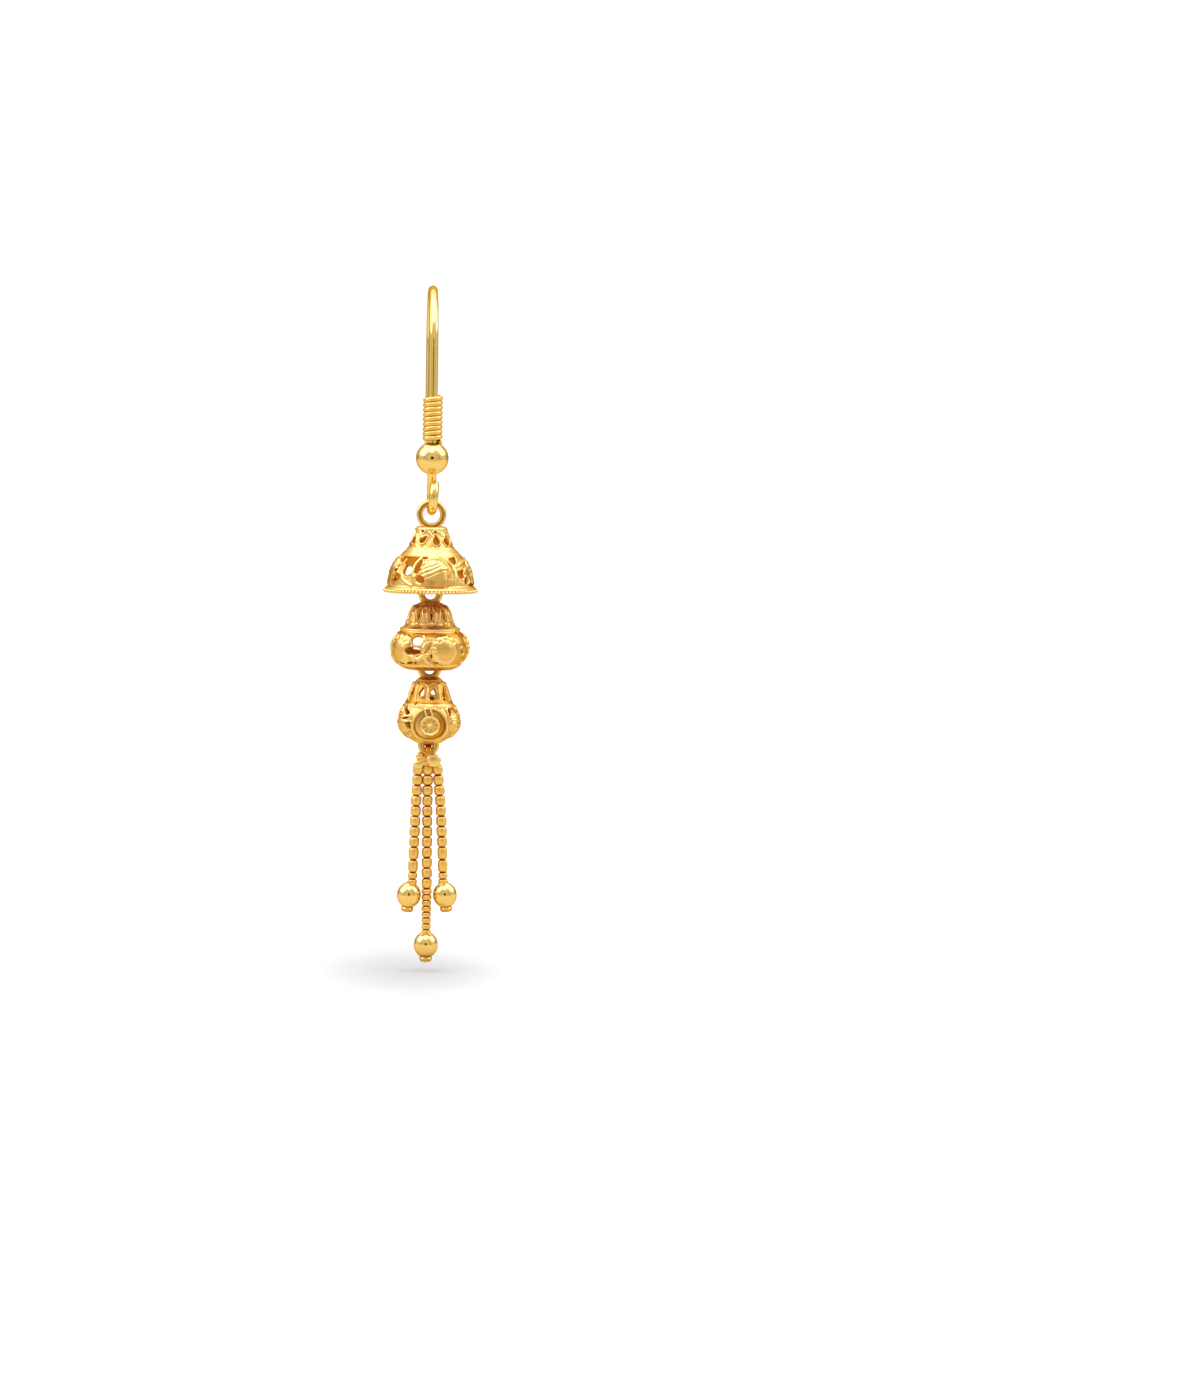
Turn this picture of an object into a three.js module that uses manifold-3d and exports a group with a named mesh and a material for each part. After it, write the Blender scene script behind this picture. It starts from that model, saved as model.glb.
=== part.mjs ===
// Tiered drop earring in yellow gold: an ear hook with a wrapped coil and a bead, a pierced bell,
// two pierced lanterns and a tassel of three bead chains, each hanging from the piece above it.
// Millimetres, +Z up. The origin is the inside top of the hook's arch, where the ear carries it.
// The hook lies in the YZ plane, the rings of the tiers in planes that face -Y, which is the front.
import * as THREE from 'three';
import { mergeVertices } from 'three/addons/utils/BufferGeometryUtils.js';
import Module from 'manifold-3d';

const wasm = await Module();
wasm.setup();

// Driving dimensions.
const clearance = 0.05;          // running gap between pieces that touch on the real earring
const smoothing = 0.035;         // how far the simplified faces of a casting may depart from the full ones
const earWire = 0.38;            // radius of the ear wire
const archRadius = 4.5;          // hook's arch, to the middle of the wire
const dropAxis = -archRadius;    // y of the front limb, which everything else hangs under
const tailEnd = -12.6;           // z where the tail of the hook stops
const eyeRadius = 1.15;          // eye at the foot of the hook, to the middle of the wire
const eyeBottom = -17.56;        // z of the middle of the wire at the lowest point of the eye
const eyeDrift = 0.18;           // how far to the side the eye's end passes the limb
const coilWire = 0.18;
const coilTop = -8.2;
const coilBottom = -12.1;
const coilPitch = 0.39;
const beadRadius = 1.29;
const beadCentre = -13.27;
const wall = 0.36;               // sheet and castings of the three tiers
const linkWire = 0.18;           // hidden links inside the tiers
const linkHalf = 0.5;            // half the width of such a link, to the middle of the wire

// Each tier: z, radius and wire radius of the ring it hangs by, z of its flat top, and sides of its form.
const bell = { ringZ: -17.84, ringRadius: 0.96, ringWire: 0.26, topZ: -18.8, sides: 16 };
const middle = { ringZ: -24.28, ringRadius: 0.73, ringWire: 0.27, topZ: -24.98, sides: 16 };
const lower = { ringZ: -30.4, ringRadius: 0.7, ringWire: 0.27, topZ: -31.08, sides: 16 };

// Outer forms of the tiers: distance below the flat top, and radius there.
const bellForm = [
  { below: 0, radius: 1.12 },       // collar
  { below: 0.12, radius: 1.24 },
  { below: 0.6, radius: 1.36 },
  { below: 1.72, radius: 1.86 },    // foot of the cap
  { below: 2.05, radius: 2.22 },    // smooth shoulder
  { below: 2.4, radius: 2.56 },
  { below: 2.86, radius: 2.92 },    // pierced bell
  { below: 3.5, radius: 3.24 },
  { below: 4.8, radius: 3.5 },
  { below: 4.98, radius: 3.79 },    // rim
  { below: 5.32, radius: 3.79 },
  { below: 5.42, radius: 3.62 },
];
const middleForm = [
  { below: 0, radius: 0.84 },
  { below: 0.16, radius: 1.1 },
  { below: 0.45, radius: 1.4 },
  { below: 0.85, radius: 1.62 },
  { below: 1.55, radius: 1.8 },     // foot of the cap
  { below: 1.82, radius: 2.05 },    // collar
  { below: 2.25, radius: 2.42 },
  { below: 2.75, radius: 2.88 },
  { below: 3.4, radius: 3.06 },
  { below: 3.95, radius: 3.08 },
  { below: 4.6, radius: 2.84 },
  { below: 5.2, radius: 2.4 },
  { below: 5.46, radius: 1.9 },     // flat foot round the way out of the link
  { below: 5.5, radius: 1.25 },
];
const lowerForm = [
  { below: 0, radius: 0.8 },
  { below: 0.16, radius: 1.02 },
  { below: 0.6, radius: 1.32 },
  { below: 1.15, radius: 1.54 },
  { below: 1.75, radius: 1.72 },    // foot of the cap
  { below: 2.0, radius: 1.92 },
  { below: 2.55, radius: 2.24 },
  { below: 3.05, radius: 2.46 },
  { below: 3.65, radius: 2.56 },
  { below: 4.25, radius: 2.4 },
  { below: 4.75, radius: 1.92 },
  { below: 5.2, radius: 1.26 },
  { below: 5.42, radius: 0.86 },
  { below: 5.44, radius: 0.42 },
];

// Neck loop under the lower lantern, and the link and yoke of the tassel.
const neck = { z: -36.65, radius: 0.6, wire: 0.27 };
const tasselLink = { z: -37.25, radius: 0.48, wire: 0.16 };
const yoke = { topZ: -37.6, bottomZ: -38.14, radius: 0.98 };

// Bead chains: a row for the top of each stretch and its beads, and a last row where the chain ends.
const chainBead = { radius: 0.41, sides: 6 };
const chains = {
  left: [
    { topX: -0.8, topZ: -38.22, beads: 4 },
    { topX: -0.97, topZ: -41.6, beads: 4 },
    { topX: -1.07, topZ: -44.98, beads: 3 },
    { topX: -1.2, topZ: -47.77, beads: 0 },
  ],
  middle: [
    { topX: -0.03, topZ: -38.22, beads: 4 },
    { topX: -0.03, topZ: -41.6, beads: 4 },
    { topX: -0.02, topZ: -44.98, beads: 4 },
    { topX: 0, topZ: -48.36, beads: 4 },
    { topX: 0, topZ: -51.91, beads: 0 },
  ],
  right: [
    { topX: 0.72, topZ: -38.22, beads: 4 },
    { topX: 1.06, topZ: -41.58, beads: 4 },
    { topX: 1.22, topZ: -44.94, beads: 3 },
    { topX: 1.34, topZ: -47.75, beads: 0 },
  ],
};
const ballRadius = 0.96;
const balls = {
  left: { x: -1.46, z: -48.95, lean: -9 },
  middle: { x: 0, z: -53.08, lean: 0 },
  right: { x: 1.55, z: -48.91, lean: 8 },
};

const gold = new THREE.MeshStandardMaterial({ color: 0xf0c864, roughness: 0.28, metalness: 1 });
const polished = new THREE.MeshStandardMaterial({ color: 0xf6cf6a, roughness: 0.1, metalness: 1 });
const satin = new THREE.MeshStandardMaterial({ color: 0xedc25c, roughness: 0.42, metalness: 1 });

const radians = THREE.MathUtils.degToRad;
const listOf = (count, make) => Array.from({ length: count }, (_, i) => make(i));
const circlePoints = (count, place) => listOf(count, (i) => place((2 * Math.PI * i) / count));

// A closed geometry as a solid: shared vertices merged, empty triangles dropped, faces turned out.
function solid(geometry) {
  geometry.deleteAttribute('normal');
  geometry.deleteAttribute('uv');
  const merged = mergeVertices(geometry, 1e-5);
  const points = merged.attributes.position;
  const corner = [new THREE.Vector3(), new THREE.Vector3(), new THREE.Vector3()];
  const triangles = [];
  let volume = 0;
  for (let i = 0; i < merged.index.count; i += 3) {
    const [a, b, c] = [0, 1, 2].map((k) => merged.index.getX(i + k));
    if (a === b || b === c || c === a) continue;
    [a, b, c].forEach((vertex, k) => corner[k].fromBufferAttribute(points, vertex));
    volume += corner[0].dot(corner[1].cross(corner[2]));
    triangles.push([a, b, c]);
  }
  const outward = volume > 0 ? triangles : triangles.map(([a, b, c]) => [a, c, b]);
  return new wasm.Manifold(new wasm.Mesh({
    numProp: 3,
    vertProperties: new Float32Array(points.array),
    triVerts: new Uint32Array(outward.flat()),
  }));
}

function geometryOf(body) {
  const mesh = body.asOriginal().simplify(smoothing).getMesh();
  const geometry = new THREE.BufferGeometry();
  geometry.setAttribute('position', new THREE.BufferAttribute(mesh.vertProperties, 3));
  geometry.setIndex(new THREE.BufferAttribute(mesh.triVerts, 1));
  geometry.computeVertexNormals();
  return geometry;
}

const joined = (geometries) => geometries.map(solid).reduce((sum, piece) => sum.add(piece));

// A profile of (radius, height) turned round the Z axis.
function turned(profile, sides) {
  return new THREE.LatheGeometry(profile, sides).rotateX(Math.PI / 2);
}

// Round wire along a curve.
function wireAlong(curve, radius, steps, sides = 8) {
  const section = new THREE.Shape(circlePoints(sides, (a) => (
    new THREE.Vector2(radius * Math.cos(a), radius * Math.sin(a)))));
  return new THREE.ExtrudeGeometry(section, { steps, extrudePath: curve });
}

const through = (points) => new THREE.CatmullRomCurve3(points, false, 'centripetal');

// Ring of wire that faces the front, its middle at height z.
function ringFacingFront(z, radius, wire, sides = 6, steps = 12) {
  return new THREE.TorusGeometry(radius, wire, sides, steps).rotateX(Math.PI / 2).translate(0, 0, z);
}

// Inner outline of a wall: each point moved in by the wall's thickness, mitred at the corners.
function offsetIn(points, thickness) {
  return points.map((point, i) => {
    const before = points[Math.max(i - 1, 0)];
    const after = points[Math.min(i + 1, points.length - 1)];
    const into = point.clone().sub(before).normalize();
    const out = after.clone().sub(point).normalize();
    const run = into.add(out).normalize();
    const inward = new THREE.Vector2(run.y, -run.x);
    const edge = after.clone().sub(i === points.length - 1 ? before : point).normalize();
    const stretch = Math.max(0.7, inward.dot(new THREE.Vector2(edge.y, -edge.x)));
    const moved = point.clone().addScaledVector(inward, thickness / stretch);
    return i === 0 ? moved.setX(0) : moved;
  });
}

// Turned shell with a closed top and an open foot.
function shell(form, sides) {
  const outer = [new THREE.Vector2(0, 0), ...form.map((row) => new THREE.Vector2(row.radius, -row.below))];
  return turned([...outer, ...offsetIn(outer, wall).reverse()], sides);
}

// Radius and lean of a form's surface at a distance below its top.
function surfaceAt(form, below) {
  const next = form.findIndex((row) => row.below > below);
  const low = form[next];
  const high = form[next - 1];
  const part = (below - high.below) / (low.below - high.below);
  return {
    radius: high.radius + part * (low.radius - high.radius),
    lean: Math.atan2(low.radius - high.radius, low.below - high.below),
  };
}

// Stands a geometry on a form: its x runs round the wall, its y up the wall and its z out of it.
// turn is in degrees from the front, towards +X, and sunk is how far it starts inside the surface.
function onForm(geometry, form, { turn, below, sunk = 0, spin = 0 }) {
  const { radius, lean } = surfaceAt(form, below);
  const a = radians(turn);
  const out = new THREE.Vector3(Math.sin(a), -Math.cos(a), 0);
  const around = new THREE.Vector3(Math.cos(a), Math.sin(a), 0);
  const normal = out.clone().multiplyScalar(Math.cos(lean)).setZ(Math.sin(lean));
  const up = normal.clone().cross(around);
  const place = out.multiplyScalar(radius).setZ(-below).addScaledVector(normal, -sunk);
  geometry.rotateZ(radians(spin));
  return geometry.applyMatrix4(new THREE.Matrix4().makeBasis(around, up, normal).setPosition(place));
}

const oval = (width, height, sides = 5) => new THREE.Shape(circlePoints(sides, (a) => (
  new THREE.Vector2((width / 2) * Math.cos(a), (height / 2) * Math.sin(a)))));

// Round at the foot and pointed at the top: the width follows sin a times cos a/2.
const teardrop = (width, height, sides = 5) => new THREE.Shape(circlePoints(sides, (a) => {
  const across = Math.sin(a) * Math.abs(Math.cos(a / 2));
  return new THREE.Vector2((width / 1.54) * across, (-height / 2) * Math.cos(a));
}));

// Between an arc and a flatter arc, so that it tapers to both ends.
function crescent(radius, width, span) {
  const arc = [-1, -0.4, 0.4, 1].map((k) => ({ a: radians(k * span), depth: Math.cos((k * Math.PI) / 2) }));
  const edge = (reach) => arc.map(({ a, depth }) => (
    new THREE.Vector2((radius - reach * depth) * Math.cos(a) - radius, radius * Math.sin(a))));
  return new THREE.Shape([...edge(0), ...edge(width).slice(1, -1).reverse()]);
}

// The holes of a form: each a prism that stands right through the wall.
function holes(form, rows) {
  const depth = wall * 4.2;
  return joined(rows.map((row) => onForm(
    new THREE.ExtrudeGeometry(row.shape, { depth, bevelEnabled: false }),
    form, { ...row, sunk: depth / 2 },
  )));
}

// Domed boss: half an ellipsoid on a short root that stands inside the wall.
function boss(width, height, rise) {
  const root = wall * 0.8;
  const arc = [90, 62, 32, 0].map(radians).map((a) => (
    new THREE.Vector2(Math.sin(a), root + rise * Math.cos(a))));
  return turned([new THREE.Vector2(0, 0), new THREE.Vector2(0.96, 0), ...arc], 9)
    .scale(width / 2, height / 2, 1).translate(0, 0, -root);
}

// Round plate that stands a little proud of the wall: what a window leaves of it is the window's rim.
function rimPlate(radius, proud) {
  return new THREE.CylinderGeometry(radius - 0.06, radius, proud + 0.5, 10)
    .rotateX(Math.PI / 2).translate(0, 0, proud / 2 - 0.25);
}

// Long link of bent wire that hangs inside a tier, from its top to the foot that the next ring rides on.
function innerLink(topZ, footZ) {
  const bend = [0, 45, 90, 135, 180].map((a) => new THREE.Vector3(
    0, linkHalf * Math.cos(radians(a)), footZ + linkHalf - linkHalf * Math.sin(radians(a))));
  return wireAlong(through([
    new THREE.Vector3(0, linkHalf, topZ),
    new THREE.Vector3(0, linkHalf, topZ - 1),
    ...bend,
    new THREE.Vector3(0, -linkHalf, topZ - 1),
    new THREE.Vector3(0, -linkHalf, topZ),
  ]), linkWire, 48, 5);
}

// z of the foot of the link that carries a ring: it lies against the top of the ring's hole.
const footFor = (tier) => tier.ringZ + tier.ringRadius - tier.ringWire - clearance - linkWire;

// Fish hook: tail, arch, front limb, then the eye, whose end passes beside the limb.
function earHook() {
  const archZ = earWire - archRadius;
  const tail = [
    new THREE.Vector3(0, archRadius + 0.55, tailEnd),
    new THREE.Vector3(0, archRadius + 0.12, tailEnd + 2.6),
    new THREE.Vector3(0, archRadius, archZ - 2.5),
  ];
  const arch = listOf(13, (i) => radians(15 * i)).map((a) => (
    new THREE.Vector3(0, archRadius * Math.cos(a), archZ + archRadius * Math.sin(a))));
  const limb = [-0.3, -3.2, -6.4, -9.6].map((z) => new THREE.Vector3(0, dropAxis, archZ + z));
  const eye = listOf(15, (i) => 62 - 20 * i).map((a) => new THREE.Vector3(
    Math.max(0, (-90 - a) / 130) * eyeDrift,
    dropAxis + eyeRadius * Math.cos(radians(a)),
    eyeBottom + eyeRadius + eyeRadius * Math.sin(radians(a)),
  ));
  const start = new THREE.Vector3(0, dropAxis + 0.04, beadCentre - beadRadius);
  return solid(wireAlong(through([...tail, ...arch, ...limb, start, ...eye]), earWire, 84, 7));
}

function hookCoil() {
  const radius = earWire + clearance + coilWire;
  const low = coilBottom + coilWire;
  const turns = (coilTop - coilWire - low) / coilPitch;
  const stepsPerTurn = 8;
  const steps = Math.round(turns * stepsPerTurn);
  const points = listOf(steps + 1, (i) => {
    const a = (2 * Math.PI * i) / stepsPerTurn;
    const z = low + (coilPitch * i) / stepsPerTurn;
    return new THREE.Vector3(radius * Math.cos(a), radius * Math.sin(a), z);
  });
  return solid(wireAlong(through(points), coilWire, steps, 5));
}

function hookBead() {
  const bore = earWire + 0.04;
  const edge = Math.asin(bore / beadRadius);
  const arc = listOf(9, (i) => edge + (i / 8) * (Math.PI - 2 * edge)).map((a) => (
    new THREE.Vector2(beadRadius * Math.sin(a), beadRadius * Math.cos(a))));
  return solid(turned([...arc, arc[0].clone()], 14));
}

// Upper tier: ring, pierced cap, shoulder and bell. Four leaf plates stand a quarter turn apart.
function upperBell() {
  const plates = [4, 94, 184, 274];
  const openings = [];
  for (let i = 0; i < 10; i += 1) {
    openings.push({ shape: teardrop(0.5, 0.8), turn: 11 + 36 * i, below: 1.08 });
  }
  for (const plate of plates) {
    for (const side of [-1, 1]) {
      const spin = side < 0 ? 180 : 0;
      openings.push({ shape: crescent(1.1, 0.3, 36), turn: plate + side * 22, below: 3.45, spin });
      openings.push({ shape: oval(0.78, 0.5), turn: plate + side * 35, below: 2.7, spin: side * 8 });
      openings.push({ shape: oval(0.56, 0.84), turn: plate + side * 36, below: 3.5 });
      openings.push({ shape: oval(0.66, 0.72), turn: plate + side * 37.5, below: 4.28 });
    }
    openings.push({ shape: oval(0.62, 0.38), turn: plate - 15, below: 4.2, spin: -38 });
  }
  const leaves = plates.map((turn) => onForm(
    boss(1.9, 2.2, 0.14), bellForm, { turn, below: 3.75, sunk: 0.06 }));
  const topToRing = bell.ringZ - bell.topZ;
  return joined([shell(bellForm, bell.sides), ...leaves])
    .subtract(holes(bellForm, openings))
    .add(joined([
      ringFacingFront(topToRing, bell.ringRadius, bell.ringWire),
      innerLink(-wall / 2, footFor(middle) - bell.topZ),
    ]));
}

// Middle tier: fluted cap and squat lantern. Domed bosses with open scrollwork between them.
function middleLantern() {
  const bosses = [27, 112, 174, 240, 305];
  const openings = [];
  for (let i = 0; i < 10; i += 1) {
    openings.push({ shape: teardrop(0.34, 0.8), turn: 2 + 36 * i, below: 1.0 });
  }
  bosses.forEach((turn, i) => {
    const next = i + 1 < bosses.length ? bosses[i + 1] : bosses[0] + 360;
    const gap = (turn + next) / 2;
    openings.push({ shape: oval(0.92, 0.9, 6), turn: gap - 4, below: 2.95 });
    openings.push({ shape: oval(1.2, 0.54), turn: gap - 8, below: 3.84, spin: -8 });
    openings.push({ shape: oval(0.42, 0.66), turn: gap + 9, below: 3.5 });
    openings.push({ shape: oval(0.6, 0.36), turn: gap - 14, below: 4.68 });
  });
  const domes = bosses.map((turn) => onForm(
    boss(2.15, 2.25, 0.36), middleForm, { turn, below: 3.8, sunk: 0.14 }));
  return joined([shell(middleForm, middle.sides), ...domes])
    .subtract(holes(middleForm, openings))
    .add(joined([
      ringFacingFront(middle.ringZ - middle.topZ, middle.ringRadius, middle.ringWire),
      innerLink(-wall / 2, footFor(lower) - middle.topZ),
    ]));
}

// Lower tier: fluted cap and round lantern. Three windows hold flower discs, with fans between them.
function lowerLantern() {
  const windows = [3, 123, 243];
  const windowBelow = 3.58;
  const openings = [];
  const fittings = [];
  for (let i = 0; i < 10; i += 1) {
    openings.push({ shape: teardrop(0.38, 0.62), turn: 13 + 36 * i, below: 1.1 });
  }
  for (let i = 0; i < 5; i += 1) {
    openings.push({ shape: oval(0.3, 0.3), turn: 7 + 72 * i, below: 1.62 });
  }
  for (const turn of windows) {
    openings.push({ shape: oval(2.4, 2.4, 10), turn, below: windowBelow });
    for (const side of [-1, 1]) {
      openings.push({ shape: oval(0.36, 0.46), turn: turn + side * 42, below: 2.65 });
      openings.push({ shape: oval(0.36, 0.36), turn: turn + side * 40, below: 4.4 });
    }
    const disc = new THREE.CylinderGeometry(0.82, 0.82, 0.24, 8).rotateX(Math.PI / 2);
    fittings.push(onForm(disc, lowerForm, { turn, below: windowBelow, sunk: 0.5 }));
    const stem = new THREE.BoxGeometry(0.34, 0.8, 0.3).translate(0, 0.98, 0);
    fittings.push(onForm(stem, lowerForm, { turn, below: windowBelow, sunk: 0.52 }));
  }
  const rims = windows.map((turn) => onForm(rimPlate(1.4, 0.06), lowerForm, {
    turn, below: windowBelow, sunk: 0.32,
  }));
  const fans = windows.map((turn) => onForm(
    boss(1.5, 1.9, 0.24), lowerForm, { turn: turn + 60, below: 3.4, sunk: 0.02 }));
  return joined([shell(lowerForm, lower.sides), ...rims, ...fans])
    .subtract(holes(lowerForm, openings))
    .add(joined([
      ...fittings,
      ringFacingFront(lower.ringZ - lower.topZ, lower.ringRadius, lower.ringWire),
      ringFacingFront(neck.z - lower.topZ, neck.radius, neck.wire, 6, 10),
    ]));
}

// Link through the neck loop, with the lobed yoke that the chains start from.
function tasselYoke() {
  const height = yoke.topZ - yoke.bottomZ;
  const body = turned([
    new THREE.Vector2(0, 0),
    new THREE.Vector2(yoke.radius * 0.55, 0),
    new THREE.Vector2(yoke.radius, -height * 0.6),
    new THREE.Vector2(yoke.radius * 0.92, -height),
    new THREE.Vector2(0, -height),
  ], 10).scale(1, 0.62, 1);
  const lobe = (width, height_, x, y, z) => (
    new THREE.SphereGeometry(1, 8, 5).scale(width / 2, 0.24, height_ / 2).translate(x, y, z));
  return joined([
    body,
    lobe(0.8, 0.76, -0.84, -0.2, 0.02),
    lobe(1.16, 1.2, 0.42, -0.56, -0.12),
    new THREE.TorusGeometry(tasselLink.radius, tasselLink.wire, 6, 14)
      .rotateY(Math.PI / 2).translate(0, 0, tasselLink.z - yoke.topZ),
  ]);
}

// Barrel beads on a thread, from the origin down, joined to one solid.
function beadStretch(length, beads) {
  const pitch = length / beads;
  const profile = [new THREE.Vector2(0, 0)];
  for (let i = 0; i < beads; i += 1) {
    const top = -pitch * i;
    if (i === 0) profile.push(new THREE.Vector2(chainBead.radius * 0.62, top));
    profile.push(new THREE.Vector2(chainBead.radius, top - pitch * 0.28));
    profile.push(new THREE.Vector2(chainBead.radius, top - pitch * 0.72));
    profile.push(new THREE.Vector2(chainBead.radius * 0.62, top - pitch));
  }
  profile.push(new THREE.Vector2(0, -length));
  return solid(turned(profile, chainBead.sides));
}

// Polished ball with a short collar on top and a stepped end cap below.
function ball() {
  const arc = listOf(8, (i) => radians(22 + i * 18.6)).map((a) => (
    new THREE.Vector2(ballRadius * Math.sin(a), ballRadius * Math.cos(a))));
  return solid(turned([
    new THREE.Vector2(0, 0.98),
    new THREE.Vector2(0.36, 0.98),
    ...arc,
    new THREE.Vector2(0.49, -1.0),
    new THREE.Vector2(0.49, -1.26),
    new THREE.Vector2(0.34, -1.46),
    new THREE.Vector2(0, -1.46),
  ], 12));
}

const earring = new THREE.Group();
const drop = new THREE.Group();
drop.position.y = dropAxis;
earring.add(drop);

function place(parent, name, body, material, x = 0, z = 0) {
  const mesh = new THREE.Mesh(geometryOf(body), material.clone());
  mesh.name = name;
  mesh.position.set(x, 0, z);
  parent.add(mesh);
  return mesh;
}

place(earring, 'ear_hook', earHook(), polished);
place(drop, 'hook_coil', hookCoil(), polished);
place(drop, 'hook_bead', hookBead(), polished, 0, beadCentre);
place(drop, 'upper_bell', upperBell(), gold, 0, bell.topZ);
place(drop, 'middle_lantern', middleLantern(), gold, 0, middle.topZ);
place(drop, 'lower_lantern', lowerLantern(), gold, 0, lower.topZ);
place(drop, 'tassel_yoke', tasselYoke(), gold, 0, yoke.topZ);

for (const [side, stretches] of Object.entries(chains)) {
  for (let i = 0; i + 1 < stretches.length; i += 1) {
    const { topX, topZ, beads } = stretches[i];
    const along = new THREE.Vector2(stretches[i + 1].topX - topX, stretches[i + 1].topZ - topZ);
    const stretch = beadStretch(along.length() - clearance, beads);
    const mesh = place(drop, `${side}_chain_${i + 1}`, stretch, satin, topX, topZ);
    mesh.rotation.y = Math.atan2(-along.x, -along.y);
  }
  const { x, z, lean } = balls[side];
  place(drop, `${side}_ball`, ball(), polished, x, z).rotation.y = radians(-lean);
}

export default earring;
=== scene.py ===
import math

import bmesh
import bpy
import numpy as np
from mathutils import Matrix, Vector


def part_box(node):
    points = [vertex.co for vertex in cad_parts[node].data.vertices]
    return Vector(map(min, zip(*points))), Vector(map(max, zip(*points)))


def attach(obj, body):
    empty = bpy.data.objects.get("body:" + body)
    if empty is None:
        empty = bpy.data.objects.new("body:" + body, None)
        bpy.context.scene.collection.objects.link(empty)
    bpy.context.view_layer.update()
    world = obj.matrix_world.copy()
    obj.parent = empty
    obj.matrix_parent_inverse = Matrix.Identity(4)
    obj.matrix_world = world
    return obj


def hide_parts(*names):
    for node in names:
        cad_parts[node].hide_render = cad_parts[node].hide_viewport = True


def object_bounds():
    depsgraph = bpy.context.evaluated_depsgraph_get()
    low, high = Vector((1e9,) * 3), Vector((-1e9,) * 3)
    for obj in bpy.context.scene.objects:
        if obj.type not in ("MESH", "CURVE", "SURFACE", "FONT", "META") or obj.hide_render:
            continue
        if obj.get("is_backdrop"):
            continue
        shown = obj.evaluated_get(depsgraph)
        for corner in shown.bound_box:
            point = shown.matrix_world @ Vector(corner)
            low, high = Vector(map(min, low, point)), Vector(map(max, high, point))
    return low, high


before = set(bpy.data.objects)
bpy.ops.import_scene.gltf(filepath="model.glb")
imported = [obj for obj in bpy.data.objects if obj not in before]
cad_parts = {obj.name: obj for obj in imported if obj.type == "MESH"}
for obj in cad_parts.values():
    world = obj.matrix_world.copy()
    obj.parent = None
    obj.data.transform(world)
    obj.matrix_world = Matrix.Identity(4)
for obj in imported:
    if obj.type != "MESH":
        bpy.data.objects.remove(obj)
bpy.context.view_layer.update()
mm = 0.001

beadLow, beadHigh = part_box("hook_bead")
dropAxis = (beadLow.y + beadHigh.y) / 2      # everything under the hook hangs on this line
hookLow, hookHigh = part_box("ear_hook")
wireRadius = hookHigh.z / 2                  # the arch's inside top is the origin
print("frame loaded: drop axis at y", round(dropAxis / mm, 2), "mm")


def spotsOf(mesh):
    co = np.empty(len(mesh.vertices) * 3)
    mesh.vertices.foreach_get("co", co)
    return co.reshape(-1, 3)


def circle(count):
    # Even turns round a circle, in radians
    return np.linspace(0, 2 * math.pi, count, endpoint=False)


def linked(name, data):
    made = bpy.data.objects.new(name, data)
    bpy.context.scene.collection.objects.link(made)
    return made


def setPaintedShade(mesh, values):
    # painted-shade mask: 0 for none, 1 for full painted shade, read by the gold finishes
    layer = mesh.attributes.get("paintedShade") or mesh.attributes.new("paintedShade", "FLOAT", "POINT")
    layer.data.foreach_set("value", values.astype(np.float32))


def quadsOf(index):
    return np.stack([index[:-1, :-1], index[1:, :-1], index[1:, 1:], index[:-1, 1:]], -1)


def meshOfQuads(points, quads, paintedShade=None, finish=None):
    # A quad at a pole has two equal corners and becomes a triangle. The painted-shade mask has a number
    # for each point, and finish one for each quad.
    used, quads = np.unique(quads, return_inverse=True)
    quads = quads.reshape(-1, 4)
    folded = quads == np.roll(quads, -1, axis=1)
    plain = ~folded.any(axis=1)
    triangles = quads[~plain][~folded[~plain]].reshape(-1, 3)
    mesh = bpy.data.meshes.new("part")
    mesh.from_pydata(points.reshape(-1, 3)[used].tolist(), [], quads[plain].tolist() + triangles.tolist())
    if finish is not None:
        order = np.concatenate([finish[plain], finish[~plain]])
        mesh.polygons.foreach_set("material_index", order.astype(np.int32))
    if paintedShade is not None:
        setPaintedShade(mesh, paintedShade.reshape(-1)[used])
    mesh.shade_smooth()
    return mesh


def gridMesh(points, ends="poles", paintedShade=None, flip=False):
    # points is rows x columns x 3 in metres, and the columns close in a ring. The first and last rows
    # are "poles" of one vertex each, or "joined" to each other. An "open" grid is a plain sheet.
    index = np.arange(points.shape[0] * points.shape[1]).reshape(points.shape[:2])
    if ends == "poles":
        index[0], index[-1] = index[0, 0], index[-1, 0]
    if ends == "joined":
        index = np.vstack([index, index[:1]])
    if ends != "open":
        index = np.hstack([index, index[:, :1]])
    quads = quadsOf(index).reshape(-1, 4)
    return meshOfQuads(points, quads[:, ::-1] if flip else quads, paintedShade)


def addPiece(name, mesh, body, slot, *materials, replaces=()):
    mesh.name = name
    piece = linked(name, mesh)
    for material in materials:
        mesh.materials.append(material)
    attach(piece, body)
    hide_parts(*replaces)


def joinMeshes(meshes):
    # One mesh of several, with the vertices of each kept apart
    whole = bmesh.new()
    for mesh in meshes:
        if "paintedShade" not in mesh.attributes:
            setPaintedShade(mesh, np.zeros(len(mesh.vertices)))
        whole.from_mesh(mesh)
        bpy.data.meshes.remove(mesh)
    joined = bpy.data.meshes.new("joined")
    whole.to_mesh(joined)
    whole.free()
    return joined


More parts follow.
